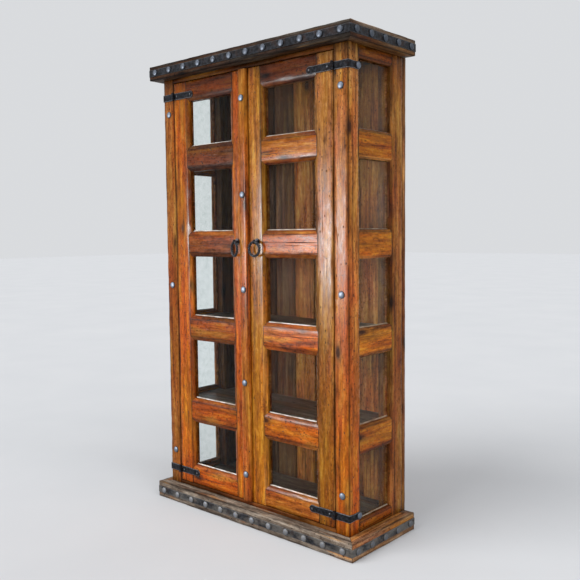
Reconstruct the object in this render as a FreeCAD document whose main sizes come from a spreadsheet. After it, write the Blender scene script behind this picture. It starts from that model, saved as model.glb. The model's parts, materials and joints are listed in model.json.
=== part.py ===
import FreeCAD, Part
import os
import Sketcher

# Rustic two-door glazed hutch: pine carcass and doors, iron bands, strap hinges and ring pulls.
# Frame: millimetres, +Z up, front towards -Y, origin on the floor under the middle of the object.

doc = FreeCAD.newDocument("hutch")
sheet = doc.addObject("Spreadsheet::Sheet", "Sizes")

SIZES = [
    # Crown and base slabs
    ("slab_width", 1219),
    ("slab_depth", 457),
    ("total_height", 2134),
    ("crown_thick", 68),
    ("base_thick", 80),
    ("overhang", 47),
    ("slab_board", 118),
    ("panel_thick", 22),
    ("panel_seat", 14),
    ("panel_clear", 1),
    # Iron bands and dome-headed nails
    ("band_thick", 3),
    ("crown_band_height", 33),
    ("crown_band_drop", 17),
    ("base_band_height", 32),
    ("base_band_drop", 25),
    ("head_radius", 15),
    ("head_height", 8),
    ("shank_radius", 2.5),
    ("shank_length", 12),
    ("shank_clear", 0.1),
    ("front_nail_inset", 46),
    ("side_nail_inset", 36),
    ("post_nail_inset", 165),
    # Posts and back
    ("post_width", 73.5),
    ("front_post_depth", 78),
    ("rear_post_depth", 92),
    ("back_thick", 22),
    ("back_gap", 1.5),
    # Glazed frames of doors and sides
    ("frame_thick", 32),
    ("glass_setback", 20),
    ("glass_thick", 4),
    ("rabbet_wide", 10),
    ("glass_clear", 1),
    ("door_bevel_wide", 18),
    ("door_bevel_deep", 8),
    ("side_bevel_wide", 10),
    ("side_bevel_deep", 5),
    ("mid_rail_height", 121),
    ("rail_pitch", 404.5),
    ("side_end_rail", 52),
    ("door_end_rail", 94),
    ("header_height", 20),
    ("sill_height", 18),
    ("door_gap", 3),
    ("meeting_gap", 4),
    ("meeting_shift", 12),
    ("hinge_stile", 102),
    ("meeting_stile", 91),
    # Shelves
    ("shelf_thick", 20),
    ("shelf_rise", 40),
    ("shelf_clear", 1),
    ("shelf_setback", 4),
    ("cleat_wide", 18),
    ("cleat_height", 25),
    # Astragal
    ("astragal_width", 54),
    ("astragal_thick", 14),
    ("astragal_round", 8),
    ("astragal_nail_inset", 125),
    # Strap hinges
    ("strap_height", 32),
    ("strap_thick", 4),
    ("leaf_reach", 121),
    ("side_leg", 60),
    ("knuckle_radius", 7.5),
    ("knuckle_proud", 0.4),
    ("knuckle_clear", 0.5),
    ("knuckle_height", 11),
    ("pin_radius", 4),
    ("pin_clear", 0.05),
    ("pin_head_radius", 6),
    ("pin_head_height", 3),
    ("hinge_drop", 62),
    ("hinge_rise", 55),
    # Ring pulls
    ("ring_radius", 31),
    ("ring_wire", 4.6),
    ("ring_stand", 20),
    ("pull_height", 1286),
    ("left_pull_inset", 76),
    ("right_pull_inset", 44),
    ("eye_wire", 2.5),
    ("eye_clear", 0.35),
    ("stem_radius", 3),
    ("rosette_radius", 15),
    ("rosette_thick", 3),
    # Catches
    ("catch_width", 40),
    ("catch_depth", 16),
    ("catch_height", 45),
    ("catch_offset", 60),
    ("catch_gap", 0.5),
    ("strike_thick", 2),
    ("strike_height", 18),
]

RAILS = 4
FRONT_NAILS = 12
SIDE_NAILS = 5
POST_NAILS = 3
ASTRAGAL_NAILS = 5
BACK_BOARDS = 9
LEFT = -1
RIGHT = 1


class Size:
    """A length that carries both its sheet expression and its value."""

    def __init__(self, text, value):
        self.text = text
        self.value = float(value)

    def __add__(self, other):
        return Size(f"({self.text} + {other.text})", self.value + other.value)

    def __sub__(self, other):
        return Size(f"({self.text} - {other.text})", self.value - other.value)

    def __neg__(self):
        return Size(f"(-{self.text})", -self.value)

    def __mul__(self, count):
        return Size(f"({self.text} * {count})", self.value * count)

    def __truediv__(self, count):
        return Size(f"({self.text} / {count})", self.value / count)


class Named:
    """The sheet's sizes as attributes."""


def fill_sheet():
    named = Named()
    for row, (alias, value) in enumerate(SIZES, start=1):
        sheet.set(f"A{row}", alias)
        sheet.set(f"B{row}", str(value))
        sheet.setAlias(f"B{row}", alias)
        setattr(named, alias, Size(f"Sizes.{alias}", value))
    doc.recompute()
    return named


S = fill_sheet()
ZERO = Size("0", 0)

# Planes and lines that several pieces share
half_slab = S.slab_width / 2
nail_stand = S.band_thick + S.head_height
slab_back = (S.slab_depth + nail_stand) / 2
slab_front = slab_back - S.slab_depth
face = slab_front + S.overhang
back_face = slab_back - S.back_thick
half_body = half_slab - S.overhang
half_bay = half_body - S.post_width
half_inside = half_body - S.frame_thick
crown_under = S.total_height - S.crown_thick
body_height = crown_under - S.base_thick
first_rail = S.base_thick + (body_height - S.rail_pitch * (RAILS - 1)) / 2
rail_middles = [first_rail + S.rail_pitch * number for number in range(RAILS)]
half_rail = S.mid_rail_height / 2
bead_thick = S.frame_thick - S.glass_setback - S.glass_thick
door_back = face + S.frame_thick

door_bottom = S.base_thick + S.sill_height + S.door_gap
door_top = crown_under - S.header_height - S.door_gap
door_height = door_top - door_bottom
door_edge = half_bay - S.door_gap
meeting_edge = {LEFT: S.meeting_shift - S.meeting_gap / 2, RIGHT: S.meeting_shift + S.meeting_gap / 2}
pane_outer = door_edge - S.hinge_stile
pane_inner = meeting_edge[RIGHT] + S.meeting_stile
pane_width = pane_outer - pane_inner
pane_middle = (pane_outer + pane_inner) / 2

side_front = face + S.front_post_depth
side_rear = back_face - S.rear_post_depth
side_sight = side_rear - side_front
side_middle = (side_front + side_rear) / 2

hinge_x = half_bay - S.door_gap / 2
hinge_y = face - S.knuckle_radius - S.knuckle_proud
hinge_heights = [door_bottom + S.hinge_rise, door_top - S.hinge_drop]

AXIS_X = FreeCAD.Vector(1, 0, 0)
AXIS_Y = FreeCAD.Vector(0, 1, 0)
AXIS_Z = FreeCAD.Vector(0, 0, 1)
NO_TURN = FreeCAD.Rotation(AXIS_Z, 0)
TURN_TO_FRONT = FreeCAD.Rotation(AXIS_X, 90)
TURN_TO_SIDE = {LEFT: FreeCAD.Rotation(AXIS_Y, -90), RIGHT: FreeCAD.Rotation(AXIS_Y, 90)}
FACE_TO_SIDE = {LEFT: FreeCAD.Rotation(AXIS_Z, -90), RIGHT: FreeCAD.Rotation(AXIS_Z, 90)}
SIDE_NAME = {LEFT: "left", RIGHT: "right"}

nodes = []
cuts = []


def keep(piece):
    """Mark a finished piece as one of the object's nodes."""
    nodes.append(piece)
    return piece


def put(piece, x, y, z, turn=NO_TURN):
    """Place a piece, its position bound to the sheet."""
    piece.Placement = FreeCAD.Placement(FreeCAD.Vector(x.value, y.value, z.value), turn)
    for axis, size in (("x", x), ("y", y), ("z", z)):
        piece.setExpression(f"Placement.Base.{axis}", size.text)
    return piece


def box(label, low, high):
    """A plain board between two corners given in sizes."""
    piece = doc.addObject("Part::Box", label)
    piece.Label = label
    for name, start, end in zip(("Length", "Width", "Height"), low, high):
        piece.setExpression(name, (end - start).text)
    return put(piece, *low)


def group(label, pieces):
    """Separate solids that share one node."""
    piece = doc.addObject("Part::Compound", label)
    piece.Label = label
    piece.Links = pieces
    return piece


def new_body(label):
    body = doc.addObject("PartDesign::Body", label)
    body.Label = label
    return body


def new_sketch(body, role, offset=ZERO):
    """A sketch on one of the body's own origin planes, moved along the plane's normal."""
    plane = next(item for item in body.Origin.OriginFeatures if item.Role == role)
    sketch = body.newObject("Sketcher::SketchObject", body.Name + "_sketch")
    sketch.AttachmentSupport = (plane, "")
    sketch.MapMode = "FlatFace"
    sketch.setExpression("AttachmentOffset.Base.z", offset.text)
    return sketch


def bind_point(sketch, shape, end, x, y):
    """Fix one point of a sketch shape at two sheet sizes."""
    for kind, size in (("DistanceX", x), ("DistanceY", y)):
        number = sketch.addConstraint(Sketcher.Constraint(kind, -1, 1, shape, end, size.value))
        sketch.setExpression(f"Constraints[{number}]", size.text)


def outline(sketch, points):
    """A closed outline of straight lines through points given in sizes."""
    first = sketch.GeometryCount
    count = len(points)
    spots = [FreeCAD.Vector(x.value, y.value, 0) for x, y in points]
    for number in range(count):
        sketch.addGeometry(Part.LineSegment(spots[number], spots[(number + 1) % count]), False)
    for number in range(count):
        after = first + (number + 1) % count
        sketch.addConstraint(Sketcher.Constraint("Coincident", first + number, 2, after, 1))
    for number, (x, y) in enumerate(points):
        bind_point(sketch, first + number, 1, x, y)
    return sketch


def rectangle(sketch, low, high):
    return outline(sketch, [low, (high[0], low[1]), high, (low[0], high[1])])


def circle(sketch, centre, radius):
    """A circle with its centre and radius bound to the sheet."""
    spot = FreeCAD.Vector(centre[0].value, centre[1].value, 0)
    number = sketch.addGeometry(Part.Circle(spot, AXIS_Z, radius.value), False)
    bind_point(sketch, number, 3, *centre)
    rule = sketch.addConstraint(Sketcher.Constraint("Radius", number, radius.value))
    sketch.setExpression(f"Constraints[{rule}]", radius.text)
    return sketch


def pad(body, sketch, length, reverse=False):
    feature = body.newObject("PartDesign::Pad", body.Name + "_pad")
    feature.Profile = sketch
    feature.setExpression("Length", length.text)
    feature.Reversed = reverse
    return feature


def middle_pad(body, sketch, length):
    feature = pad(body, sketch, length)
    feature.Midplane = True
    return feature


def pocket(body, sketch, depth, reverse=False):
    feature = body.newObject("PartDesign::Pocket", body.Name + "_pocket")
    feature.Profile = sketch
    feature.setExpression("Length", depth.text)
    feature.Reversed = reverse
    cuts.append(feature)
    return feature


def cut_through(body, sketch):
    """A cut right through the body, both ways from the sketch."""
    feature = body.newObject("PartDesign::Pocket", body.Name + "_cut")
    feature.Profile = sketch
    feature.Type = "ThroughAll"
    feature.Midplane = True
    cuts.append(feature)
    return feature


def drill(body, role, spots, depth, reverse=False):
    """Nail holes in the face that lies on one of the body's origin planes."""
    sketch = new_sketch(body, role)
    for spot in spots:
        circle(sketch, spot, S.shank_radius + S.shank_clear)
    return pocket(body, sketch, depth, reverse)


def spread(low, high, count):
    """Evenly spaced places from low to high."""
    return [low + (high - low) / (count - 1) * number for number in range(count)]


# Nail places, shared by the nails and their holes
front_nail_places = spread(S.front_nail_inset - half_slab, half_slab - S.front_nail_inset, FRONT_NAILS)
side_nail_places = spread(S.side_nail_inset, S.slab_depth - S.side_nail_inset, SIDE_NAILS)
post_nail_places = spread(S.base_thick + S.post_nail_inset, crown_under - S.post_nail_inset, POST_NAILS)
astragal_nail_places = spread(door_bottom + S.astragal_nail_inset, door_top - S.astragal_nail_inset,
                              ASTRAGAL_NAILS)
base_nail_height = S.base_thick - S.base_band_drop - S.base_band_height / 2
crown_nail_height = S.total_height - S.crown_band_drop - S.crown_band_height / 2
post_nail_x = half_body - S.post_width / 2
astragal_middle = meeting_edge[LEFT] - S.astragal_width / 2
board_hole = S.shank_length - S.band_thick
strap_hole = S.shank_length - S.strap_thick


def mitred_front_board(label, y, z, thick, inward):
    """A front or back board of a mitred frame, its outer face on the local XZ plane."""
    body = new_body(label)
    inner = half_slab - S.slab_board
    deep = S.slab_board * inward
    sketch = outline(new_sketch(body, "XY_Plane"),
                     [(-half_slab, ZERO), (half_slab, ZERO), (inner, deep), (-inner, deep)])
    pad(body, sketch, thick)
    return put(body, ZERO, y, z)


def mitred_side_board(label, side, z, thick):
    """An end board of a mitred frame, its outer face on the local YZ plane."""
    body = new_body(label)
    deep = S.slab_board * -side
    sketch = outline(new_sketch(body, "XY_Plane"),
                     [(ZERO, ZERO), (ZERO, S.slab_depth),
                      (deep, S.slab_depth - S.slab_board), (deep, S.slab_board)])
    pad(body, sketch, thick)
    return put(body, half_slab * side, slab_front, z)


def slab_frame(name, z, thick, nail_height):
    """The four mitred boards of the base or the crown, drilled for the band's nails."""
    height = nail_height - z
    front = mitred_front_board(f"{name}_front", slab_front, z, thick, 1)
    drill(front, "XZ_Plane", [(x, height) for x in front_nail_places], board_hole)
    back = mitred_front_board(f"{name}_back", slab_back, z, thick, -1)
    boards = [front, back]
    for side in (LEFT, RIGHT):
        board = mitred_side_board(f"{name}_{SIDE_NAME[side]}", side, z, thick)
        drill(board, "YZ_Plane", [(y, height) for y in side_nail_places], board_hole, side == LEFT)
        boards.append(board)
    return boards


def seat_top_panel(boards):
    """A rebate round the top of the crown's opening, and the panel that drops into it."""
    front, back, left, right = boards
    edge = S.slab_board - S.panel_seat
    strips = {
        front: ((-half_slab, edge), (half_slab, S.slab_board)),
        back: ((-half_slab, -S.slab_board), (half_slab, -edge)),
        left: ((edge, ZERO), (S.slab_board, S.slab_depth)),
        right: ((-S.slab_board, ZERO), (-edge, S.slab_depth)),
    }
    for board, (low, high) in strips.items():
        sketch = rectangle(new_sketch(board, "XY_Plane", S.crown_thick), low, high)
        pocket(board, sketch, S.panel_thick)
    reach = half_slab - edge - S.panel_clear
    keep(box("crown_panel",
             (-reach, slab_front + edge + S.panel_clear, S.total_height - S.panel_thick),
             (reach, slab_back - edge - S.panel_clear, S.total_height)))


def band(label, middle, height):
    """A flat iron strap round the front and both ends of a slab."""
    body = new_body(label)
    outer = half_slab + S.band_thick
    sketch = outline(new_sketch(body, "XY_Plane"),
                     [(-outer, -S.band_thick), (outer, -S.band_thick), (outer, S.slab_depth),
                      (half_slab, S.slab_depth), (half_slab, ZERO), (-half_slab, ZERO),
                      (-half_slab, S.slab_depth), (-outer, S.slab_depth)])
    middle_pad(body, sketch, height)
    radius = S.shank_radius + S.shank_clear
    front_holes = new_sketch(body, "XZ_Plane", S.band_thick)
    for x in front_nail_places:
        circle(front_holes, (x, ZERO), radius)
    pocket(body, front_holes, S.band_thick)
    side_holes = new_sketch(body, "YZ_Plane")
    for y in side_nail_places:
        circle(side_holes, (y, ZERO), radius)
    cut_through(body, side_holes)
    return keep(put(body, ZERO, slab_front, middle))


def clavo():
    """One dome-headed nail on the local Z axis, its head on the XY plane."""
    dome = "((Sizes.head_radius^2 + Sizes.head_height^2) / (2 * Sizes.head_height))"
    head = doc.addObject("Part::Sphere", "clavo_head")
    head.setExpression("Radius", dome)
    head.setExpression("Angle1", f"asin(({dome} - Sizes.head_height) / {dome})")
    head.setExpression("Placement.Base.z", f"Sizes.head_height - {dome}")
    shank = doc.addObject("Part::Cylinder", "clavo_shank")
    shank.setExpression("Radius", S.shank_radius.text)
    shank.setExpression("Height", S.shank_length.text)
    shank.setExpression("Placement.Base.z", (-S.shank_length).text)
    nail = doc.addObject("Part::Fuse", "clavo")
    nail.Base = head
    nail.Tool = shank
    doc.recompute()
    return nail


def nail_group(label, nail, places):
    """Copies of the nail, one separate solid for each place and turn."""
    piece = doc.addObject("Part::Feature", label)
    piece.Label = label
    solids = []
    for x, y, z, turn in places:
        solid = nail.Shape.Solids[0].copy()
        spot = FreeCAD.Vector(x.value, y.value, z.value)
        solid.Placement = FreeCAD.Placement(spot, turn)
        solids.append(solid)
    piece.Shape = Part.makeCompound(solids)
    piece.Placement = FreeCAD.Placement()
    return keep(piece)


def slab_nails(height):
    """Nail places on the front and ends of one band."""
    places = [(x, slab_front - S.band_thick, height, TURN_TO_FRONT) for x in front_nail_places]
    for side in (LEFT, RIGHT):
        x = (half_slab + S.band_thick) * side
        places += [(x, slab_front + y, height, TURN_TO_SIDE[side]) for y in side_nail_places]
    return places


def post_nails():
    """Nail places on the front posts and at the ends of the hinge straps."""
    places = []
    for side in (LEFT, RIGHT):
        places += [(post_nail_x * side, face, z, TURN_TO_FRONT) for z in post_nail_places]
        x = (half_body + S.strap_thick) * side
        places += [(x, face + S.side_leg, z, TURN_TO_SIDE[side]) for z in hinge_heights]
    return places


def post(label, side, depth, y, rearward):
    """A corner post with a bevelled lip towards the side glass, open to the inside for glazing."""
    body = new_body(label)
    across = [ZERO, S.post_width * -side, S.glass_setback * -side, S.side_bevel_deep * -side]
    skin, inner, lip, bevel = across
    sketch = outline(new_sketch(body, "XY_Plane"), [
        (skin, ZERO), (inner, ZERO), (inner, (depth - S.rabbet_wide) * rearward),
        (lip, (depth - S.rabbet_wide) * rearward), (lip, depth * rearward),
        (bevel, depth * rearward), (skin, (depth - S.side_bevel_wide) * rearward)])
    pad(body, sketch, body_height)
    return keep(put(body, half_body * side, y, S.base_thick))


def front_post(side):
    body = post(f"front_{SIDE_NAME[side]}_post", side, S.front_post_depth, face, 1)
    middle = S.post_width / 2 * -side
    drill(body, "XZ_Plane", [(middle, z - S.base_thick) for z in post_nail_places], S.shank_length)
    drill(body, "YZ_Plane", [(S.side_leg, z - S.base_thick) for z in hinge_heights], strap_hole,
          side == LEFT)


def rear_post(side):
    post(f"rear_{SIDE_NAME[side]}_post", side, S.rear_post_depth, back_face, -1)


def rail(label, sight, height, bevel, edges):
    """A frame rail: its ends cope over the stiles, and its edges are bevelled and rebated for glass."""
    body = new_body(label)
    wide, deep = bevel
    reach = sight / 2
    front_end = reach + wide
    back_end = reach + S.rabbet_wide
    half = [(front_end, ZERO), (reach, deep), (reach, S.glass_setback),
            (back_end, S.glass_setback), (back_end, S.frame_thick)]
    mirrored = [(-x, y) for x, y in reversed(half)]
    pad(body, outline(new_sketch(body, "XY_Plane"), half + mirrored), height)
    sketch = new_sketch(body, "YZ_Plane")
    for edge in edges:
        start, step = (height, -1) if edge == "top" else (ZERO, 1)
        outline(sketch, [(ZERO, start), (deep, start), (ZERO, start + wide * step)])
        rectangle(sketch, (S.glass_setback, start), (S.frame_thick, start + S.rabbet_wide * step))
    cut_through(body, sketch)
    return body


def stile(label, side, width, bevel):
    """A full-height door stile, its outer edge on the local YZ plane and its pane edge towards -side."""
    body = new_body(label)
    wide, deep = bevel
    spots = [(ZERO, ZERO), (width - wide, ZERO), (width, deep), (width, S.glass_setback),
             (width - S.rabbet_wide, S.glass_setback), (width - S.rabbet_wide, S.frame_thick),
             (ZERO, S.frame_thick)]
    sketch = outline(new_sketch(body, "XY_Plane"), [(x * -side, y) for x, y in spots])
    pad(body, sketch, door_height)
    return keep(body)


def pane_spans(low, high):
    """Heights of the five sight openings between low and high, bottom first."""
    starts = [low] + [middle + half_rail for middle in rail_middles]
    ends = [middle - half_rail for middle in rail_middles] + [high]
    return list(zip(starts, ends))


def glazing(label, low_high, spans, to_world):
    """Panes and their beads for one frame; to_world turns (along, depth, height) into corners."""
    low, high = low_high
    seat = S.rabbet_wide - S.glass_clear
    glass_depth = (S.glass_setback, S.glass_setback + S.glass_thick)
    bead_depth = (glass_depth[1], glass_depth[1] + bead_thick)
    panes, beads = [], []
    for bottom, top in spans:
        outer = (low - seat, bottom - seat, high + seat, top + seat)
        panes.append(to_world(f"{label}_pane", outer[0], outer[2], glass_depth, outer[1], outer[3]))
        for start, end in ((bottom - seat, bottom), (top, top + seat)):
            beads.append(to_world(f"{label}_bead", outer[0], outer[2], bead_depth, start, end))
        for start, end in ((low - seat, low), (high, high + seat)):
            beads.append(to_world(f"{label}_bead", start, end, bead_depth, bottom, top))
    return panes, beads


def door_plane(label, start, end, depth, bottom, top):
    return box(label, (start, face + depth[0], bottom), (end, face + depth[1], top))


def side_plane(side):
    """Boxes in one side's frame, depth measured inwards from the side's face."""
    def place(label, start, end, depth, bottom, top):
        ends = sorted(((half_body - step) * side for step in depth), key=lambda size: size.value)
        return box(label, (ends[0], start, bottom), (ends[1], end, top))
    return place


def side_frame(side):
    """Rails, glass and beads between a front and a rear post."""
    name = f"{SIDE_NAME[side]}_side"
    bevel = (S.side_bevel_wide, S.side_bevel_deep)
    turn = FACE_TO_SIDE[side]
    skin = half_body * side
    ends = []
    for edge, z in (("top", S.base_thick), ("bottom", crown_under - S.side_end_rail)):
        body = rail(f"{name}_end_rail", side_sight, S.side_end_rail, bevel, [edge])
        ends.append(put(body, skin, side_middle, z, turn))
    middles = []
    for middle in rail_middles:
        body = rail(f"{name}_mid_rail", side_sight, S.mid_rail_height, bevel, ["top", "bottom"])
        middles.append(put(body, skin, side_middle, middle - half_rail, turn))
    spans = pane_spans(S.base_thick + S.side_end_rail, crown_under - S.side_end_rail)
    panes, beads = glazing(name, (side_front, side_rear), spans, side_plane(side))
    keep(group(f"{name}_end_rails", ends))
    keep(group(f"{name}_mid_rails", middles))
    keep(group(f"{name}_glass", panes))
    return beads


def notched_board(label, front, z, thick):
    """A floor or shelf board that fits between the posts and out to the side frames."""
    body = new_body(label)
    narrow = half_bay - S.shelf_clear
    wide = half_inside - S.shelf_clear
    front_notch = side_front - S.rabbet_wide + S.shelf_clear
    rear_notch = side_rear + S.rabbet_wide - S.shelf_clear
    half = [(narrow, front), (narrow, front_notch), (wide, front_notch),
            (wide, rear_notch), (narrow, rear_notch), (narrow, back_face)]
    mirrored = [(-x, y) for x, y in reversed(half)]
    pad(body, outline(new_sketch(body, "XY_Plane"), half + mirrored), thick)
    return keep(put(body, ZERO, ZERO, z))


def shelves():
    """Four shelves, each on a pair of cleats fixed to the side rails."""
    cleats = []
    for number, middle in enumerate(rail_middles, start=1):
        under = middle + S.shelf_rise - S.shelf_thick
        notched_board(f"shelf_{number}", door_back + S.shelf_setback, under, S.shelf_thick)
        for side in (LEFT, RIGHT):
            ends = [half_inside * side, (half_inside - S.cleat_wide) * side]
            low, high = sorted(ends, key=lambda size: size.value)
            cleats.append(box("cleat", (low, side_front, under - S.cleat_height), (high, side_rear, under)))
    keep(group("shelf_cleats", cleats))


def back_boards():
    """Vertical boards across the rear posts."""
    pitch = (half_body * 2 + S.back_gap) / BACK_BOARDS
    boards = []
    for number in range(BACK_BOARDS):
        left = pitch * number - half_body
        boards.append(box("back_board", (left, back_face, S.base_thick),
                          (left + pitch - S.back_gap, slab_back, crown_under)))
    keep(group("back_boards", boards))


def front_rails():
    """The header over the doors and the sill under them."""
    keep(box("header_rail", (-half_bay, face, crown_under - S.header_height),
             (half_bay, door_back, crown_under)))
    keep(box("sill_rail", (-half_bay, face, S.base_thick),
             (half_bay, door_back, S.base_thick + S.sill_height)))


def knuckle(body, z_low, z_high, toward):
    """One knuckle of a hinge, with the tongue that ties it to its strap."""
    barrel = circle(new_sketch(body, "XY_Plane", z_low), (ZERO, ZERO), S.knuckle_radius)
    pad(body, barrel, z_high - z_low)
    front = S.knuckle_radius + S.knuckle_proud - S.strap_thick
    reach = (S.knuckle_radius + S.knuckle_clear) * toward
    tongue = rectangle(new_sketch(body, "XY_Plane", z_low), (ZERO, front), (reach, front + S.strap_thick))
    pad(body, tongue, z_high - z_low)


def pin_hole(body):
    hole = circle(new_sketch(body, "XY_Plane"), (ZERO, ZERO), S.pin_radius + S.pin_clear)
    cut_through(body, hole)


def hinge_leaf(side, height):
    """The door's half of a strap hinge: a strap with a round end and the middle knuckle."""
    body = new_body(f"{SIDE_NAME[side]}_leaf")
    toward = -side
    back = S.knuckle_radius + S.knuckle_proud
    start = (S.knuckle_radius + S.knuckle_clear) * toward
    half = S.strap_height / 2
    strap = new_sketch(body, "XZ_Plane", -back)
    rectangle(strap, (start, -half), (S.leaf_reach * toward, half))
    pad(body, strap, S.strap_thick)
    tip = circle(new_sketch(body, "XZ_Plane", -back), (S.leaf_reach * toward, ZERO), half)
    pad(body, tip, S.strap_thick)
    knuckle(body, -S.knuckle_height / 2, S.knuckle_height / 2, toward)
    pin_hole(body)
    return put(body, hinge_x * side, hinge_y, height)


def post_strap(side, height):
    """The post's half of a strap hinge, bent round the corner onto the side."""
    body = new_body(f"{SIDE_NAME[side]}_strap")
    back = S.knuckle_radius + S.knuckle_proud
    start = S.knuckle_radius + S.knuckle_clear
    corner = half_body - hinge_x
    half = S.strap_height / 2
    spots = [(start, back - S.strap_thick), (corner + S.strap_thick, back - S.strap_thick),
             (corner + S.strap_thick, back + S.side_leg), (corner, back + S.side_leg),
             (corner, back), (start, back)]
    strap = outline(new_sketch(body, "XY_Plane"), [(x * side, y) for x, y in spots])
    middle_pad(body, strap, S.strap_height)
    tip = circle(new_sketch(body, "YZ_Plane", corner * side), (back + S.side_leg, ZERO), half)
    pad(body, tip, S.strap_thick, side == LEFT)
    near = S.knuckle_height / 2 + S.knuckle_clear
    knuckle(body, near, half, side)
    knuckle(body, -half, -near, side)
    pin_hole(body)
    hole = circle(new_sketch(body, "YZ_Plane", (corner + S.strap_thick) * side),
                  (back + S.side_leg, ZERO), S.shank_radius + S.shank_clear)
    pocket(body, hole, S.strap_thick, side == LEFT)
    return put(body, hinge_x * side, hinge_y, height)


def hinge_pin(side, height):
    """A pin that drops through the knuckles and hangs on its head."""
    shank = doc.addObject("Part::Cylinder", "pin_shank")
    shank.setExpression("Radius", S.pin_radius.text)
    shank.setExpression("Height", S.strap_height.text)
    put(shank, hinge_x * side, hinge_y, height - S.strap_height / 2)
    head = doc.addObject("Part::Cylinder", "pin_head")
    head.setExpression("Radius", S.pin_head_radius.text)
    head.setExpression("Height", S.pin_head_height.text)
    put(head, hinge_x * side, hinge_y, height + S.strap_height / 2)
    pin = doc.addObject("Part::Fuse", "hinge_pin")
    pin.Base = shank
    pin.Tool = head
    return pin


def hinges():
    """Post straps and pins; the leaves go with their doors."""
    pins = []
    for side in (LEFT, RIGHT):
        straps = [post_strap(side, height) for height in hinge_heights]
        keep(group(f"{SIDE_NAME[side]}_hinge_straps", straps))
        pins += [hinge_pin(side, height) for height in hinge_heights]
    keep(group("hinge_pins", pins))


def pull_x(side):
    if side == LEFT:
        return meeting_edge[LEFT] - S.left_pull_inset
    return meeting_edge[RIGHT] + S.right_pull_inset


def pull_eye(side):
    """A rosette and stem that carry the eye of a ring pull."""
    name = SIDE_NAME[side]
    x = pull_x(side)
    eye_radius = S.ring_wire + S.eye_clear + S.eye_wire
    plate = doc.addObject("Part::Cylinder", f"{name}_rosette")
    plate.setExpression("Radius", S.rosette_radius.text)
    plate.setExpression("Height", S.rosette_thick.text)
    put(plate, x, face, S.pull_height, TURN_TO_FRONT)
    stem = doc.addObject("Part::Cylinder", f"{name}_stem")
    stem.setExpression("Radius", S.stem_radius.text)
    stem.setExpression("Height", (S.ring_stand - eye_radius).text)
    put(stem, x, face, S.pull_height, TURN_TO_FRONT)
    eye = doc.addObject("Part::Torus", f"{name}_eye_loop")
    eye.setExpression("Radius1", eye_radius.text)
    eye.setExpression("Radius2", S.eye_wire.text)
    put(eye, x, face - S.ring_stand, S.pull_height, TURN_TO_SIDE[RIGHT])
    piece = doc.addObject("Part::MultiFuse", f"{name}_door_pull_eye")
    piece.Label = f"{name}_door_pull_eye"
    piece.Shapes = [plate, stem, eye]
    return keep(piece)


def pull_ring(side):
    """The ring that hangs in the eye."""
    label = f"{SIDE_NAME[side]}_door_ring"
    piece = doc.addObject("Part::Torus", label)
    piece.Label = label
    piece.setExpression("Radius1", S.ring_radius.text)
    piece.setExpression("Radius2", S.ring_wire.text)
    return keep(put(piece, pull_x(side), face - S.ring_stand, S.pull_height - S.ring_radius, TURN_TO_FRONT))


def door(side):
    """One door: two stiles, six rails, glass, beads, hinge leaves, strike plate and ring pull."""
    name = f"{SIDE_NAME[side]}_door"
    bevel = (S.door_bevel_wide, S.door_bevel_deep)
    edge = door_edge * side
    inner = pane_inner * side
    meeting_width = (inner - meeting_edge[side]) * side
    put(stile(f"{name}_hinge_stile", side, S.hinge_stile, bevel), edge, face, door_bottom)
    put(stile(f"{name}_meeting_stile", -side, meeting_width, bevel), meeting_edge[side], face, door_bottom)
    middle = pane_middle * side
    for place, edges, z in (("bottom", ["top"], door_bottom), ("top", ["bottom"], door_top - S.door_end_rail)):
        body = rail(f"{name}_{place}_rail", pane_width, S.door_end_rail, bevel, edges)
        keep(put(body, middle, face, z))
    middles = []
    for height in rail_middles:
        body = rail(f"{name}_mid_rail", pane_width, S.mid_rail_height, bevel, ["top", "bottom"])
        middles.append(put(body, middle, face, height - half_rail))
    keep(group(f"{name}_mid_rails", middles))
    spans = pane_spans(door_bottom + S.door_end_rail, door_top - S.door_end_rail)
    half = pane_width / 2
    panes, beads = glazing(name, (middle - half, middle + half), spans, door_plane)
    keep(group(f"{name}_glass", panes))
    keep(group(f"{name}_beads", beads))
    keep(group(f"{name}_hinge_leaves", [hinge_leaf(side, height) for height in hinge_heights]))
    pull_eye(side)
    pull_ring(side)
    strike_plate(side)


def catch_span(side):
    """Left and right ends of a catch and its strike plate."""
    middle = S.meeting_shift + S.catch_offset * side
    return middle - S.catch_width / 2, middle + S.catch_width / 2


def strike_plate(side):
    low, high = catch_span(side)
    keep(box(f"{SIDE_NAME[side]}_door_strike", (low, door_back, door_top - S.strike_height),
             (high, door_back + S.strike_thick, door_top)))


def catches():
    """Two catch blocks under the crown, just behind the doors' strike plates."""
    front = door_back + S.strike_thick + S.catch_gap
    blocks = []
    for side in (LEFT, RIGHT):
        low, high = catch_span(side)
        blocks.append(box("catch", (low, front, crown_under - S.catch_height),
                          (high, front + S.catch_depth, crown_under)))
    keep(group("door_catches", blocks))


def astragal():
    """A strip with rounded front edges on the left door's meeting edge."""
    body = new_body("astragal")
    sketch = rectangle(new_sketch(body, "XY_Plane"), (-S.astragal_width / 2, ZERO),
                       (S.astragal_width / 2, S.astragal_thick))
    strip = pad(body, sketch, door_height)
    doc.recompute()
    fillet = body.newObject("PartDesign::Fillet", "astragal_round")
    fillet.Base = (strip, front_uprights(strip.Shape))
    fillet.setExpression("Radius", S.astragal_round.text)
    drill(body, "XZ_Plane", [(ZERO, z - door_bottom) for z in astragal_nail_places], S.shank_length)
    keep(put(body, astragal_middle, face - S.astragal_thick, door_bottom))


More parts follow.
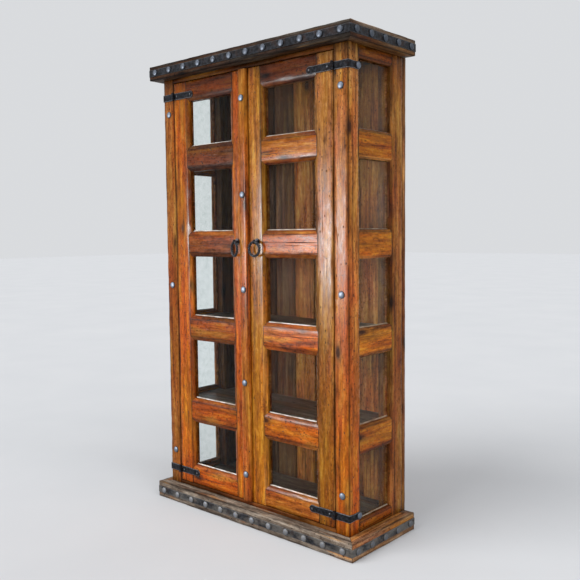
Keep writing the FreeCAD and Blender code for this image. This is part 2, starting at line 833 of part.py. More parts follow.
def front_uprights(shape):
    """Names of the upright edges on the front of a strip whose front lies on the local XZ plane."""
    names = []
    for number, edge in enumerate(shape.Edges, start=1):
        ends = [vertex.Point for vertex in edge.Vertexes]
        upright = all(abs(end.x - ends[0].x) < Part.Precision.confusion() for end in ends)
        in_front = all(abs(end.y) < Part.Precision.confusion() for end in ends)
        if upright and in_front:
            names.append(f"Edge{number}")
    return names


def build():
    slab = slab_frame("base", ZERO, S.base_thick, base_nail_height)
    crown = slab_frame("crown", crown_under, S.crown_thick, crown_nail_height)
    for board in slab + crown:
        keep(board)
    seat_top_panel(crown)
    band("base_band", base_nail_height, S.base_band_height)
    band("crown_band", crown_nail_height, S.crown_band_height)
    for side in (LEFT, RIGHT):
        front_post(side)
        rear_post(side)
    front_rails()
    keep(group("side_beads", side_frame(LEFT) + side_frame(RIGHT)))
    back_boards()
    notched_board("floor_board", door_back, S.base_thick, S.sill_height)
    shelves()
    hinges()
    for side in (LEFT, RIGHT):
        door(side)
    catches()
    astragal()
    nail = clavo()
    nail_group("clavos", nail, slab_nails(base_nail_height) + slab_nails(crown_nail_height) + post_nails())
    nail_group("astragal_clavos", nail,
               [(astragal_middle, face - S.astragal_thick, z, TURN_TO_FRONT) for z in astragal_nail_places])


def check():
    """Stop if any feature failed, any cut missed its piece or any shape is not sound."""
    for item in doc.Objects:
        if {"Invalid", "Error"} & set(item.State):
            raise RuntimeError(f"{item.Label} failed: {item.State}")
    for feature in cuts:
        before = feature.BaseFeature.Shape.Volume
        if not feature.Shape.Volume < before:
            raise RuntimeError(f"{feature.Label} cuts nothing")
    for piece in nodes:
        if piece.Shape.isNull() or not piece.Shape.isValid():
            raise RuntimeError(f"{piece.Label} is not a sound shape")


def export():
    os.makedirs("parts", exist_ok=True)
    for piece in nodes:
        piece.Shape.exportStep(f"parts/{piece.Label}.step")


build()
doc.recompute()
check()
export()
print(len(nodes), "nodes written")
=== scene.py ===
import json
import math
import random

import bmesh
import bpy
import numpy as np
from mathutils import Matrix, Vector, noise

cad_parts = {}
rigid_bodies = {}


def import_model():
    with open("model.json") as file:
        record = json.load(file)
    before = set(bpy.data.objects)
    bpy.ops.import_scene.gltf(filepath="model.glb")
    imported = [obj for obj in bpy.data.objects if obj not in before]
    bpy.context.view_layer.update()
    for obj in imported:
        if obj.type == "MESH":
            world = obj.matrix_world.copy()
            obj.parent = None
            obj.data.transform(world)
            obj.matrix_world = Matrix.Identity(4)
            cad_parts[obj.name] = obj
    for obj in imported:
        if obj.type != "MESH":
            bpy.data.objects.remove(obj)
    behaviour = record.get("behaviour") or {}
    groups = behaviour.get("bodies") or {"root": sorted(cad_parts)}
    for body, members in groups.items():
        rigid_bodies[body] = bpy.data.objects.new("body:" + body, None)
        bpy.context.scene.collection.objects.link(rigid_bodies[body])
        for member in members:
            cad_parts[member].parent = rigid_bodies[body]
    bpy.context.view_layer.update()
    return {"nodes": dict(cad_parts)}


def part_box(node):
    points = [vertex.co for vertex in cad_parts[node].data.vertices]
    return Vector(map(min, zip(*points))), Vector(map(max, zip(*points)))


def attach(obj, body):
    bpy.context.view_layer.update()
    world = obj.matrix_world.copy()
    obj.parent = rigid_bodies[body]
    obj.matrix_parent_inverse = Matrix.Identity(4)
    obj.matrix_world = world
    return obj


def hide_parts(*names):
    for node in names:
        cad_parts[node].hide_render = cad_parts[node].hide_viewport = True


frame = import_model()

# Looks of a rustic glazed hutch: varnished reclaimed pine, forged iron, clear glass. Metres throughout.

MM = 0.001
X, Y, Z = range(3)
LEFT, RIGHT = SIDES = ("left", "right")
SIGN = {LEFT: -1, RIGHT: 1}
FRONT = (0, -1, 0)
CABINET = "cabinet"

# Section sizes shared with the solids
GLASS_SETBACK = 20 * MM
FRAME_THICK = 32 * MM
RABBET = 10 * MM
DOOR_BEVEL = (18 * MM, 8 * MM)
SIDE_BEVEL = (10 * MM, 5 * MM)
PANEL_SEAT = 14 * MM
PANEL_THICK = 22 * MM
HEAD_HEIGHT = 8 * MM
HEAD_RADIUS = 15.5 * MM
STRAP_THICK = 4 * MM
STRAP_HEIGHT = 32 * MM
BAND_THICK = 3 * MM
LEAF_REACH = 121 * MM
SIDE_LEG = 60 * MM
KNUCKLE_RADIUS = 7.5 * MM
KNUCKLE_HEIGHT = 11 * MM
KNUCKLE_CLEAR = 0.5 * MM
RING_RADIUS = 31 * MM
RING_WIRE = 5.3 * MM
RING_TURN = {LEFT: math.radians(-22), RIGHT: 0.0}

# Redness, brightness and greyness of boards that the photograph sets apart
SIDE_MID = [(0.45, 0.82, 0), (0.4, 1.05, 0), (0.42, 1.02, 0), (0.4, 0.82, 0)]
SIDE_END = (0.5, 0.85, 0)
BASE_AWAY = (0.45, 0.85, 0.7)
CROWN_AWAY = (0.35, 0.62, 0.7)
TONES = {
    # The left door's rails darken towards the top, and its top rail is dark: painted shade under the crown
    "left_door_mid_rails": [(0.8, 0.9, 0), (0.85, 0.72, 0), (0.78, 0.66, 0), (0.75, 0.4, 0)],
    "left_door_top_rail": [(0.85, 0.4, 0)],
    "left_door_bottom_rail": [(0.8, 1.2, 0)],
    "astragal": (0.75, 1.08, 0.05),
    "right_door_mid_rails": [(0.6, 1.22, 0), (0.6, 1.34, 0), (0.62, 1.2, 0), (0.6, 1.0, 0)],
    # The right door's dark top rail is painted shade under the crown
    "right_door_top_rail": [(0.85, 0.24, 0)],
    "right_door_bottom_rail": [(0.55, 1.0, 0.05)],
    "header_rail": (0.75, 0.7, 0.05),
    "sill_rail": (0.75, 0.8, 0.1),
    "base_front": (0.35, 1.3, 1.0),
    "base_right": (0.25, 1.05, 0.4),
    "base_left": BASE_AWAY,
    "base_back": BASE_AWAY,
    "crown_front": (0.35, 0.32, 0.6),
    "crown_right": (0.35, 0.55, 0.5),
    "crown_left": CROWN_AWAY,
    "crown_back": CROWN_AWAY,
    "crown_panel": (0.4, 0.72, 0.7),
    # Inside faces of the back boards: darker to the left as painted shadow, golden to the right as painted
    # light through the side glass
    "back_boards": [(0.4, 0.2, 0.4), (0.4, 0.22, 0.4), (0.4, 0.3, 0.35), (0.4, 0.4, 0.3), (0.3, 1.08, 0.15),
                    (0.3, 0.98, 0.15), (0.4, 0.7, 0.25), (0.3, 1.1, 0.15), (0.3, 1.05, 0.15)],
}
# The same at the foot of uprights, and at the top of those that change along their length
# Part of this change is painted light: the left door's stiles darken towards the top as painted shade under
# the crown, the rear right post darkens towards its foot as painted shade, and the grey at the top of the
# right door's hinge stile and the front right post is a painted haze of reflection
UPRIGHT_TONES = {
    "left_door_hinge_stile": ((0.78, 1.24, 0), (0.75, 1.0, 0)),
    "left_door_meeting_stile": ((0.8, 1.22, 0), (0.8, 1.1, 0)),
    "right_door_hinge_stile": ((0.35, 0.7, 0), (0.25, 1.1, 0.15)),
    "right_door_meeting_stile": ((0.35, 1.1, 0), (0.15, 1.0, 0.05)),
    "front_left_post": ((0.6, 0.8, 0.1), None),
    "front_right_post": ((0.88, 1.18, 0), (0.2, 1.15, 0.15)),
    "rear_left_post": ((0.4, 0.78, 0.1), None),
    "rear_right_post": ((0.38, 0.66, 0.1), (0.38, 0.8, 0.1)),
}
PLAIN_TONE = (0.5, 0.9, 0.1)
BACK_TONE = (0.45, 0.85, 0.35)
# Chance differences between boards in redness and brightness
TONE_SPREAD = (0.1, 0.05)
# What is left of the brightness on the inner half of a rear post: painted shade inside the cabinet
REAR_POST_INSIDE = {LEFT: 0.34, RIGHT: 0.75}

# Soot and painted shade under the crown, and darkening just above the base: the part of the brightness lost,
# and how far it reaches
CROWN_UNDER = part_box("crown_front")[0].z
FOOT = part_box("base_front")[1].z + 1 * MM
CROWN_SOOT_AND_SHADE, CROWN_SOOT_AND_SHADE_REACH = 0.5, 70 * MM
FOOT_DARKENING, FOOT_REACH = 0.6, 30 * MM

# Vertices closer than the weld grid count as one
WELD_GRID = 0.01 * MM
NOISE_REACH = 9


def solids(node):
    """Boxes (low, high) of a node's separate solids, sorted by their lowest corners."""
    shape = bmesh.new()
    shape.from_mesh(frame["nodes"][node].data)
    bmesh.ops.remove_doubles(shape, verts=shape.verts, dist=WELD_GRID)
    rest, boxes = set(shape.verts), []
    while rest:
        island = [rest.pop()]
        for vert in island:
            near = {edge.other_vert(vert) for edge in vert.link_edges} & rest
            rest -= near
            island += near
        columns = list(zip(*(vert.co for vert in island)))
        boxes.append((Vector(map(min, columns)), Vector(map(max, columns))))
    shape.free()
    return sorted(boxes, key=lambda box: [round(box[0][k] / WELD_GRID) for k in (Z, X, Y)])


def turn_outward(mesh):
    shape = bmesh.new()
    shape.from_mesh(mesh)
    bmesh.ops.recalc_face_normals(shape, faces=shape.faces)
    shape.to_mesh(mesh)
    shape.free()


class Pile:
    """Collects boards or iron into one mesh, with grain, wear and tone for each vertex."""

    def __init__(self, seed):
        self.verts, self.faces = [], []
        self.random = random.Random(seed)

    def shift(self):
        """A chance place in the noise."""
        return Vector(self.random.uniform(-NOISE_REACH, NOISE_REACH) for _ in range(3))

    def add_rings(self, rings, closing=None):
        """Joins rings of (point, grain, wear, tone), with caps or, turned by closing, back to the first."""
        first, count = len(self.verts), len(rings[0])
        self.verts += [vertex for ring in rings for vertex in ring]
        rows = [list(range(k, k + count)) for k in range(first, len(self.verts), count)]
        caps = [tuple(reversed(rows[0])), tuple(rows[-1])]
        if closing is not None:
            rows.append(rows[0][closing:] + rows[0][:closing])
            caps = []
        for row, other in zip(rows, rows[1:]):
            for a, b in zip(range(count), [*range(1, count), 0]):
                self.faces.append((row[a], row[b], other[b], other[a]))
        self.faces += caps

    def mesh(self, name, angle):
        """The mesh, smooth but for corners sharper than the angle."""
        mesh = bpy.data.meshes.new(name)
        points, *layers = zip(*self.verts)
        mesh.from_pydata(points, [], self.faces)
        for label, values in zip(("grain", "wear", "tone"), layers):
            kind, field = ("FLOAT", "value") if label == "wear" else ("FLOAT_VECTOR", "vector")
            layer = mesh.attributes.new(label, kind, "POINT")
            layer.data.foreach_set(field, np.array(values, dtype=np.float32).ravel())
        turn_outward(mesh)
        mesh.polygons.foreach_set("use_smooth", [True] * len(mesh.polygons))
        mesh.set_sharp_from_angle(angle=math.radians(angle))
        return mesh

    def done(self, name, body, slot, material, nodes=(), angle=40):
        """Makes the object, hides the nodes it replaces, and rides it on its body."""
        mesh = self.mesh(name, angle)
        mesh.materials.append(material)
        piece = bpy.data.objects.new(name, mesh)
        bpy.context.scene.collection.objects.link(piece)
        if nodes:
            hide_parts(*nodes)
        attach(piece, body)


# Boards: how corners are eased, faces wave and edges are nibbled

CORNER_SHARE = 0.35
CORNER_WEAR, BESIDE_WEAR = 1.0, 0.6
SWAY_SCALE, NIBBLE_SCALE, NIBBLE_BIAS = 7, 23, 0.25
RING_GAP = 24 * MM
END_ZONE = 4 * MM
END_SINK = 0.7


def between(a, b, share):
    return tuple(a[i] + (b[i] - a[i]) * share for i in (0, 1))


def turn(a, b, c):
    """Cross product of a to b and b to c."""
    return (b[0] - a[0]) * (c[1] - b[1]) - (b[1] - a[1]) * (c[0] - b[0])


def winding(section):
    """1 for an anticlockwise section, otherwise -1."""
    area = sum(a[0] * b[1] - b[0] * a[1] for a, b in zip(section, section[1:] + section[:1]))
    return 1 if area > 0 else -1


def eased_corners(section, radii, sign):
    """A section with its convex corners cut back: [(point, wear)]."""
    points = []
    for k, b in enumerate(section):
        a, c = section[k - 1], section[(k + 1) % len(section)]
        before, after = math.dist(a, b), math.dist(b, c)
        reach = min(radii[k], CORNER_SHARE * before, CORNER_SHARE * after)
        if turn(a, b, c) * sign <= 0 or reach <= 0:
            points.append((b, 0.0))
            continue
        p, q = between(b, a, reach / before), between(b, c, reach / after)
        tip = between(b, between(p, q, 0.5), 0.5)
        points += [(p, BESIDE_WEAR), (tip, CORNER_WEAR), (q, BESIDE_WEAR)]
    return points


def eased(section, radii, step):
    """A section with corners eased and long edges divided: [(point, normal, wear)]."""
    sign = winding(section)
    radii = radii if isinstance(radii, list) else [radii] * len(section)
    points = eased_corners(section, radii, sign)
    filled = []
    for k, (point, wear) in enumerate(points):
        filled.append((point, wear))
        other = points[(k + 1) % len(points)][0]
        parts = int(math.dist(point, other) / step)
        filled += [(between(point, other, part / (parts + 1)), 0.0) for part in range(1, parts + 1)]
    result = []
    for k, (point, wear) in enumerate(filled):
        a, c = filled[k - 1][0], filled[(k + 1) % len(filled)][0]
        along = (c[0] - a[0], c[1] - a[1])
        size = math.hypot(*along) or 1
        result.append((point, (along[1] / size * sign, -along[0] / size * sign), wear))
    return result


def board_tone(pile, tone):
    red, bright = (tone[k] + pile.random.uniform(-1, 1) * TONE_SPREAD[k] for k in (0, 1))
    return red, bright, tone[2]


def soot_and_shade(z):
    """What soot and painted shade under the crown, and darkening just above the base, leave of the brightness
    at a height.
    """
    left = 1.0
    for gap, loss, reach in ((CROWN_UNDER - z, CROWN_SOOT_AND_SHADE, CROWN_SOOT_AND_SHADE_REACH), (z - FOOT, FOOT_DARKENING, FOOT_REACH)):
        if gap >= 0:
            left *= 1 - loss * math.exp(-gap / reach)
    return left


def swell(spot, scale):
    """Smooth noise between 0 and 1."""
    return 0.5 + 0.5 * noise.noise(spot * scale)


def ring_marks(length, end_ease):
    """Shares of a board's length that have a ring of vertices, close together at its ends."""
    count = max(2, int(length / RING_GAP))
    near = [gap / length for gap in (end_ease, END_ZONE) if gap]
    inner = [k / count for k in range(1, count)]
    return [0.0] + near + inner + [1 - share for share in reversed(near)] + [1.0]


def plank(pile, axis, section, start, end, tone=PLAIN_TONE, radii=2 * MM, step=18 * MM, sway=0.5 * MM,
          nibble=1.2 * MM, end_ease=1.2 * MM, top_tone=None, joint=0.0, paint=None):
    """A board along an axis; start and end are places on it, or functions of the section's point."""
    tone = Vector(board_tone(pile, tone))
    top_tone = Vector(top_tone) if top_tone else tone
    shift = pile.shift()
    low, high = (place if callable(place) else (lambda u, v, at=place: at) for place in (start, end))
    outline = eased(section, radii, step)
    middle = [sum(p[0][k] for p in outline) / len(outline) for k in (0, 1)]
    spans = [(low(*p), high(*p)) for p, _, _ in outline]
    rows = []
    for mark in ring_marks(max(b - a for a, b in spans), end_ease):
        tip = mark in (0.0, 1.0)
        ring = []
        for ((u, v), (nu, nv), wear), (a, b) in zip(outline, spans):
            w = a + (b - a) * mark
            spot = Vector((w, u - middle[0], v - middle[1])) + shift
            sink = sway * swell(spot, SWAY_SCALE) + (end_ease * END_SINK if tip else 0.0)
            sink += nibble * wear * max(0.0, noise.noise(spot * NIBBLE_SCALE) + NIBBLE_BIAS)
            place = [u - nu * sink, v - nv * sink]
            place.insert(axis, w)
            own = tone.lerp(top_tone, mark)
            own = paint(u, v, own).copy() if paint else own
            # soot and painted shade under the crown, darkening just above the base
            own.y *= soot_and_shade(place[Z])
            ring.append((place, spot, 1.0 + joint if tip else wear, own))
        rows.append(ring)
    pile.add_rings(rows)


# Forged and turned iron

STRAP_EDGE = 1.2 * MM
EDGE_SHARE, EDGE_DEPTH = 0.4, 0.6
HAMMER, HAMMER_SCALE = 0.35 * MM, 75
RAGGED, RAGGED_SCALE, RAGGED_FROM = 0.4 * MM, 30, 3 * MM
MITRE_LEAST = 0.3
HEAD_RIM, HEAD_SUNK = 0.18, -0.05
HEAD_FLAT, HEAD_ROUND = 0.35, 0.8
DENT, DENT_SCALE, DENT_ABOVE = 0.06, 2.2, 0.3
NO_TONE = (0, 0, 0)


def strap_profile(half, thick, columns):
    """(depth, height) round a strap's section, and where its flat front ends."""
    flat = half - min(STRAP_EDGE, half * EDGE_SHARE)
    places = [(0.0, -half), (0.0, half), (thick * EDGE_DEPTH, half), (thick, flat)]
    places += [(thick, flat * (1 - 2 * col / columns)) for col in range(1, columns)]
    return places + [(thick, -flat), (thick * EDGE_DEPTH, -half)], flat


def strap_way(path, k):
    """The way out from a point of a strap's path, longer where the path bends."""
    here = Vector(path[k])
    before = (here - Vector(path[k - 1])).normalized() if k else None
    after = (Vector(path[k + 1]) - here).normalized() if k + 1 < len(path) else None
    lead = ((before or after) + (after or before)).normalized()
    return Vector((lead.y, -lead.x)) / max(MITRE_LEAST, lead.dot(before or after))


def ribbon(pile, path, widths, z, thick, columns=7):
    """A forged strap along a path of (x, y) places, its front to the path's right."""
    shift = pile.shift()
    rows = []
    gone = 0.0
    for k, width in enumerate(widths):
        here = Vector(path[k])
        gone += (here - Vector(path[k - 1])).length if k else 0.0
        out = strap_way(path, k)
        half = width / 2
        ragged = RAGGED if half > RAGGED_FROM else 0.0
        places, flat = strap_profile(half, thick, columns)
        ring = []
        for depth, height in places:
            spot = Vector((gone, height, depth)) + shift
            if depth == thick:
                depth -= HAMMER * swell(spot, HAMMER_SCALE)
            place = here + out * depth
            wear = 1.0 if abs(height) >= flat and depth > 0 else 0.0
            lift = ragged * noise.noise(spot * RAGGED_SCALE)
            ring.append(((place.x, place.y, z + height + lift), spot, wear, NO_TONE))
        rows.append(ring)
    pile.add_rings(rows)


def rounds(levels, facets, vertex):
    """A ring of vertices for each level of a turned shape."""
    angles = [math.tau * facet / facets for facet in range(facets)]
    return [[vertex(*level, angle) for angle in angles] for level in levels]


def dome_levels(rows):
    """(reach, rise) of a nail head's rings: a straight rim, then a flattened dome."""
    levels = [(1.0, HEAD_SUNK), (1.0, HEAD_RIM)]
    for row in range(1, rows + 1):
        angle = row / (rows + HEAD_FLAT) * math.pi / 2
        levels.append((math.cos(angle) ** HEAD_ROUND, HEAD_RIM + (1 - HEAD_RIM) * math.sin(angle)))
    return levels


def dome(pile, base, out, radius, height, facets=14, rows=5, finish=(0, 0)):
    """A hammered nail head or rivet, standing along out; finish is its dust and soot."""
    base, out = Vector(base), Vector(out)
    side = out.orthogonal().normalized()
    other = out.cross(side)
    shift = pile.shift()
    spin = pile.random.uniform(0, math.tau)
    tone = (pile.random.random(), *finish)

    def vertex(reach, rise, angle):
        lead = side * math.cos(angle + spin) + other * math.sin(angle + spin)
        spot = lead * reach + out * rise + shift
        dent = 1 - DENT * swell(spot, DENT_SCALE)
        rise_dent = dent if rise > DENT_ABOVE else 1
        place = base + lead * radius * reach * dent + out * height * rise * rise_dent
        return place, spot * radius, rise, tone

    pile.add_rings(rounds(dome_levels(rows), facets, vertex))


# Materials

# Colour sockets of a mix node
MIX_A, MIX_B, MIX_OUT = 6, 7, 2


def srgb(*display):
    """Linear colour from 0-255 display values."""
    parts = [value / 255 for value in display]
    return (*(c / 12.92 if c <= 0.04045 else ((c + 0.055) / 1.055) ** 2.4 for c in parts), 1.0)


class Tree:
    """Shader nodes, with inputs given as values or as other nodes' sockets."""

    def __init__(self, holder):
        holder.use_nodes = True
        self.nodes, self.links = holder.node_tree.nodes, holder.node_tree.links
        self.nodes.clear()

    def add(self, kind, inputs=None, **options):
        node = self.nodes.new("ShaderNode" + kind)
        for key, value in options.items():
            setattr(node, key, value)
        for key, value in (inputs or {}).items():
            if isinstance(value, bpy.types.NodeSocket):
                self.links.new(value, node.inputs[key])
            else:
                node.inputs[key].default_value = value
        return node

    def math(self, operation, a, b, clamp=False):
        return self.add("Math", {0: a, 1: b}, operation=operation, use_clamp=clamp).outputs[0]

    def times(self, a, b, clamp=False):
        return self.math("MULTIPLY", a, b, clamp)

    def level(self, value, gain, base, clamp=False):
        return self.math("ADD", self.times(value, gain), base, clamp)


class Surface(Tree):
    """A material over a worked piece's grain, or over the place on a solid that stays as it is."""

    def __init__(self, name, worked=True):
        self.material = bpy.data.materials.new(name)
        super().__init__(self.material)
        self.place = self.attribute("grain", "Vector") if worked else self.add("TexCoord").outputs["Object"]

    def attribute(self, name, output):
        return self.add("Attribute", attribute_name=name).outputs[output]

    def tone(self):
        return self.add("SeparateXYZ", {0: self.attribute("tone", "Vector")}).outputs[:3]

    def scaled(self, coords, stretch):
        return self.add("Mapping", {"Vector": coords, "Scale": stretch}).outputs[0]

    def noise(self, scale=1, stretch=(1, 1, 1), detail=4, rough=0.55, distort=0.0, coords=None):
        place = self.scaled(self.place if coords is None else coords, stretch)
        return self.add("TexNoise", {"Vector": place, "Scale": scale, "Detail": detail, "Roughness": rough,
                                     "Distortion": distort}).outputs[0]

    def about(self, value, gain, base, clamp=False):
        """Noise about 0, times a gain, on a base."""
        return self.level(self.math("SUBTRACT", value, 0.5), gain, base, clamp)

    def band(self, value, low, high):
        """0 below low, 1 above high."""
        return self.add("MapRange", {"Value": value, "From Min": low, "From Max": high},
                        interpolation_type="SMOOTHSTEP").outputs[0]

    def mix(self, factor, a, b, blend="MIX"):
        node = self.add("Mix", {0: factor, MIX_A: a, MIX_B: b}, data_type="RGBA", blend_type=blend)
        return node.outputs[MIX_OUT]

    def cover(self, under, share, strength, over):
        """A colour over another where share says so."""
        return self.mix(self.times(share, strength), under, over)

    def ramp(self, factor, stops):
        node = self.add("ValToRGB", {0: factor})
        items = node.color_ramp.elements
        while len(items) < len(stops):
            items.new(0.5)
        for item, (item_place, colour) in zip(items, stops):
            item.position, item.color = item_place, colour
        return node.outputs[0]

    def finish(self, colour, rough, height=None, bump=0.0, depth=0.0, **constants):
        """The material, with bump where it has height; constants are sockets, with _ for spaces."""
        sockets = {key.replace("_", " "): value for key, value in constants.items()}
        if depth:
            relief = self.add("Bump", {"Height": height, "Strength": bump, "Distance": depth})
            sockets["Normal"] = relief.outputs[0]
        shader = self.add("BsdfPrincipled", {"Base Color": colour, "Roughness": rough, **sockets})
        self.links.new(shader.outputs[0], self.add("OutputMaterial").inputs["Surface"])
        return self.material


WOOD_GOLD = ((0.26, srgb(84, 44, 8)), (0.42, srgb(154, 92, 16)), (0.56, srgb(188, 120, 22)),
             (0.7, srgb(214, 154, 48)))
WOOD_RED = ((0.26, srgb(78, 28, 5)), (0.42, srgb(158, 68, 6)), (0.56, srgb(190, 84, 8)),
            (0.7, srgb(214, 120, 22)))
WOOD_GREY = ((0.33, srgb(50, 42, 36)), (0.5, srgb(106, 94, 82)), (0.7, srgb(164, 151, 136)))
WOOD_TAN = srgb(208, 150, 60)
STREAK_DARK = srgb(52, 22, 8)
KNOT_DARK = srgb(40, 16, 7)
CRACK_DARK = srgb(20, 11, 7)
EDGE_WORN = srgb(212, 152, 78)
GRAIN_BEND = 0.03
RINGS_A_METRE, RING_SLANT, RING_FLOW = 130.0, 0.7, 0.22
RELIEF = {"figure": 0.5, "fibre": 0.25, "scar": -1.2, "knot": -0.3, "wave": 2.4}
# Noise in pine: repeats in a metre along and across the grain, then detail, roughness and distortion
PINE_NOISE = {
    "bend": (1.6, 9, 2),
    "figure": (3.4, 48, 6, 0.62),
    "fibre": (9, 420, 4, 0.6),
    "blotch": (2.6, 12, 4, 0.6),
    "patch": (2.1, 17, 4, 0.6),
    "mottle": (30, 64, 5, 0.68),
    "pale": (3.4, 19, 4, 0.6),
    "flow": (0.9, 7, 2),
    "streak": (2.2, 84, 4, 0.55, 0.4),
    "dash": (34, 200, 3),
    "pit": (90, 150, 2),
    "crack": (0.9, 150, 2, 0.5),
    "wave": (9, 24, 2),
}
SWAYING = ("figure", "fibre", "streak", "dash", "crack")
# Marks in pine: where in its noise each begins and is full, how much it hides, and its colour
PINE_MARKS = {
    "pale": (0.54, 0.7, 0.4, WOOD_TAN),
    "late_wood": (0.4, 0.92, 0.22, STREAK_DARK),
    "streak": (0.53, 0.66, 1.0, STREAK_DARK),
    "dash": (0.56, 0.68, 0.5, STREAK_DARK),
    "pit": (0.58, 0.68, 0.75, CRACK_DARK),
    "knot_halo": (0.28, 0.1, 0.5, STREAK_DARK),
    "knot": (0.15, 0.06, 0.85, KNOT_DARK),
    "rubbed": (0.35, 0.95, 0.5, EDGE_WORN),
    # darkened edges: dirt, and painted shade lines along openings and bevels
    "edge_dirt_and_shade": (0.2, 0.85, 1.0, CRACK_DARK),
    "joint": (1.1, 1.7, 0.85, CRACK_DARK),
}


class Pine(Surface):
    """Old varnished pine with knots, worm holes, cracks and rubbed edges."""

    def __init__(self, name, worked, tone):
        super().__init__(name, worked)
        self.red, self.bright, self.grey = self.tone() if worked else tone
        bend = self.times(self.grain("bend"), GRAIN_BEND)
        lean = self.add("CombineXYZ", {1: bend, 2: bend}).outputs[0]
        self.sway = self.add("VectorMath", {0: self.place, 1: lean}, operation="ADD").outputs[0]
        self.blotch, self.patch = self.grain("blotch"), self.grain("patch")
        self.mottle, self.fibre = self.grain("mottle"), self.grain("fibre")
        figure = self.about(self.fibre, gain=0.3, base=self.grain("figure"))
        self.figure = self.about(self.mottle, gain=0.42, base=figure)

    def grain(self, layer):
        """A layer of noise drawn out along the board."""
        along, across, *rest = PINE_NOISE[layer]
        return self.noise(1.0, (along, across, across), *rest, coords=self.sway if layer in SWAYING else None)

    def lay(self, name, value, where=1.0):
        """Lays a mark over the colour and gives its share."""
        begin, full, strength, over = PINE_MARKS[name]
        share = self.times(self.band(value, begin, full), where)
        self.colour = self.cover(self.colour, share, strength, over)
        return share

    def cells(self, coords, along, across, channel, rare):
        """Distance from scattered points, and which of them count."""
        node = self.add("TexVoronoi", {"Vector": self.scaled(coords, (along, across, across)), "Scale": 1.0})
        chance = self.add("SeparateColor", {0: node.outputs["Color"]}).outputs[channel]
        return node.outputs["Distance"], self.band(chance, *rare)

    def ground(self):
        """Gold or red wood, with tan patches and grey where it has aged."""
        redness = self.about(self.blotch, gain=3.0, base=self.red, clamp=True)
        self.colour = self.mix(redness, self.ramp(self.figure, WOOD_GOLD), self.ramp(self.figure, WOOD_RED))
        self.lay("pale", self.grain("pale"))
        often = self.level(self.band(self.patch, low=0.32, high=0.6), gain=1.4, base=0.4)
        aged = self.times(self.grey, often, clamp=True)
        self.colour = self.mix(aged, self.colour, self.ramp(self.figure, WOOD_GREY))

    def growth(self, streaks):
        """Late wood of the year rings, streaks, dashes and pits."""
        across = self.add("SeparateXYZ", {0: self.place}).outputs
        slant = self.level(across[Z], RING_SLANT, across[Y])
        years = self.level(self.grain("flow"), RING_FLOW, slant)
        rings = self.math("FRACT", self.times(years, RINGS_A_METRE), 0.0)
        self.lay("late_wood", rings, where=self.band(rings, low=1.0, high=0.95))
        patches = self.band(self.patch, low=0.36, high=0.6)
        self.lay("streak", self.grain("streak"), where=self.times(patches, streaks))
        self.lay("dash", self.grain("dash"))
        self.lay("pit", self.grain("pit"), where=self.band(self.blotch, low=0.36, high=0.58))

    def knots(self):
        """Knots with a dark halo, worm holes and drying cracks."""
        distance, picked = self.cells(self.sway, along=4.4, across=9.5, channel=0, rare=(0.45, 0.5))
        self.lay("knot_halo", distance, where=picked)
        self.knot = self.lay("knot", distance, where=picked)
        distance, picked = self.cells(self.place, along=45, across=80, channel=1, rare=(0.9, 0.92))
        hole = self.times(self.band(distance, low=0.26, high=0.14), picked)
        split = self.band(self.grain("crack"), low=0.66, high=0.71)
        crack = self.times(split, self.band(self.blotch, low=0.42, high=0.56))
        self.scar = self.math("MAXIMUM", hole, crack)
        self.colour = self.cover(self.colour, self.scar, strength=0.88, over=CRACK_DARK)

    def edges(self, dirt_and_shade):
        """Edges rubbed pale or darkened by dirt and painted shade, and dark joints."""
        worn = self.attribute("wear", "Fac")
        self.lay("rubbed", worn, where=self.band(self.patch, low=0.52, high=0.68))
        # dark edges: dirt, and painted shade lines along openings and bevels
        self.lay("edge_dirt_and_shade", worn, where=self.times(self.band(self.patch, low=0.66, high=0.46), dirt_and_shade))
        self.lay("joint", worn)

    def varnish(self, gloss):
        """The board's brightness, its gloss and its relief."""
        shade = self.about(self.patch, gain=0.9, base=self.bright)
        light = self.add("CombineColor", {0: shade, 1: shade, 2: shade}).outputs[0]
        colour = self.mix(1.0, self.colour, light, "MULTIPLY")
        rough = self.about(self.blotch, gain=0.3, base=gloss)
        rough = self.about(self.mottle, gain=0.4, base=rough)
        rough = self.level(self.scar, gain=0.3, base=rough, clamp=True)
        self.wave = self.grain("wave")
        height = 0.0
        for layer, gain in RELIEF.items():
            height = self.level(getattr(self, layer), gain, height)
        return self.finish(colour, rough, height, bump=0.5, depth=1.2 * MM, Specular_IOR_Level=0.11)


def wood(name, gloss, streaks, dirt_and_shade=0.8, worked=True, tone=PLAIN_TONE):
    """A pine material; worked boards carry their own tone."""
    pine = Pine(name, worked, tone)
    pine.ground()
    pine.growth(streaks)
    pine.knots()
    if worked:
        pine.edges(dirt_and_shade)
    return pine.varnish(gloss)


IRON_DARK = srgb(17, 18, 21)
IRON_GREY = srgb(50, 52, 58)
IRON_DUST = srgb(128, 123, 116)
IRON_RUST = srgb(74, 50, 36)
IRON_BARE = srgb(136, 138, 142)


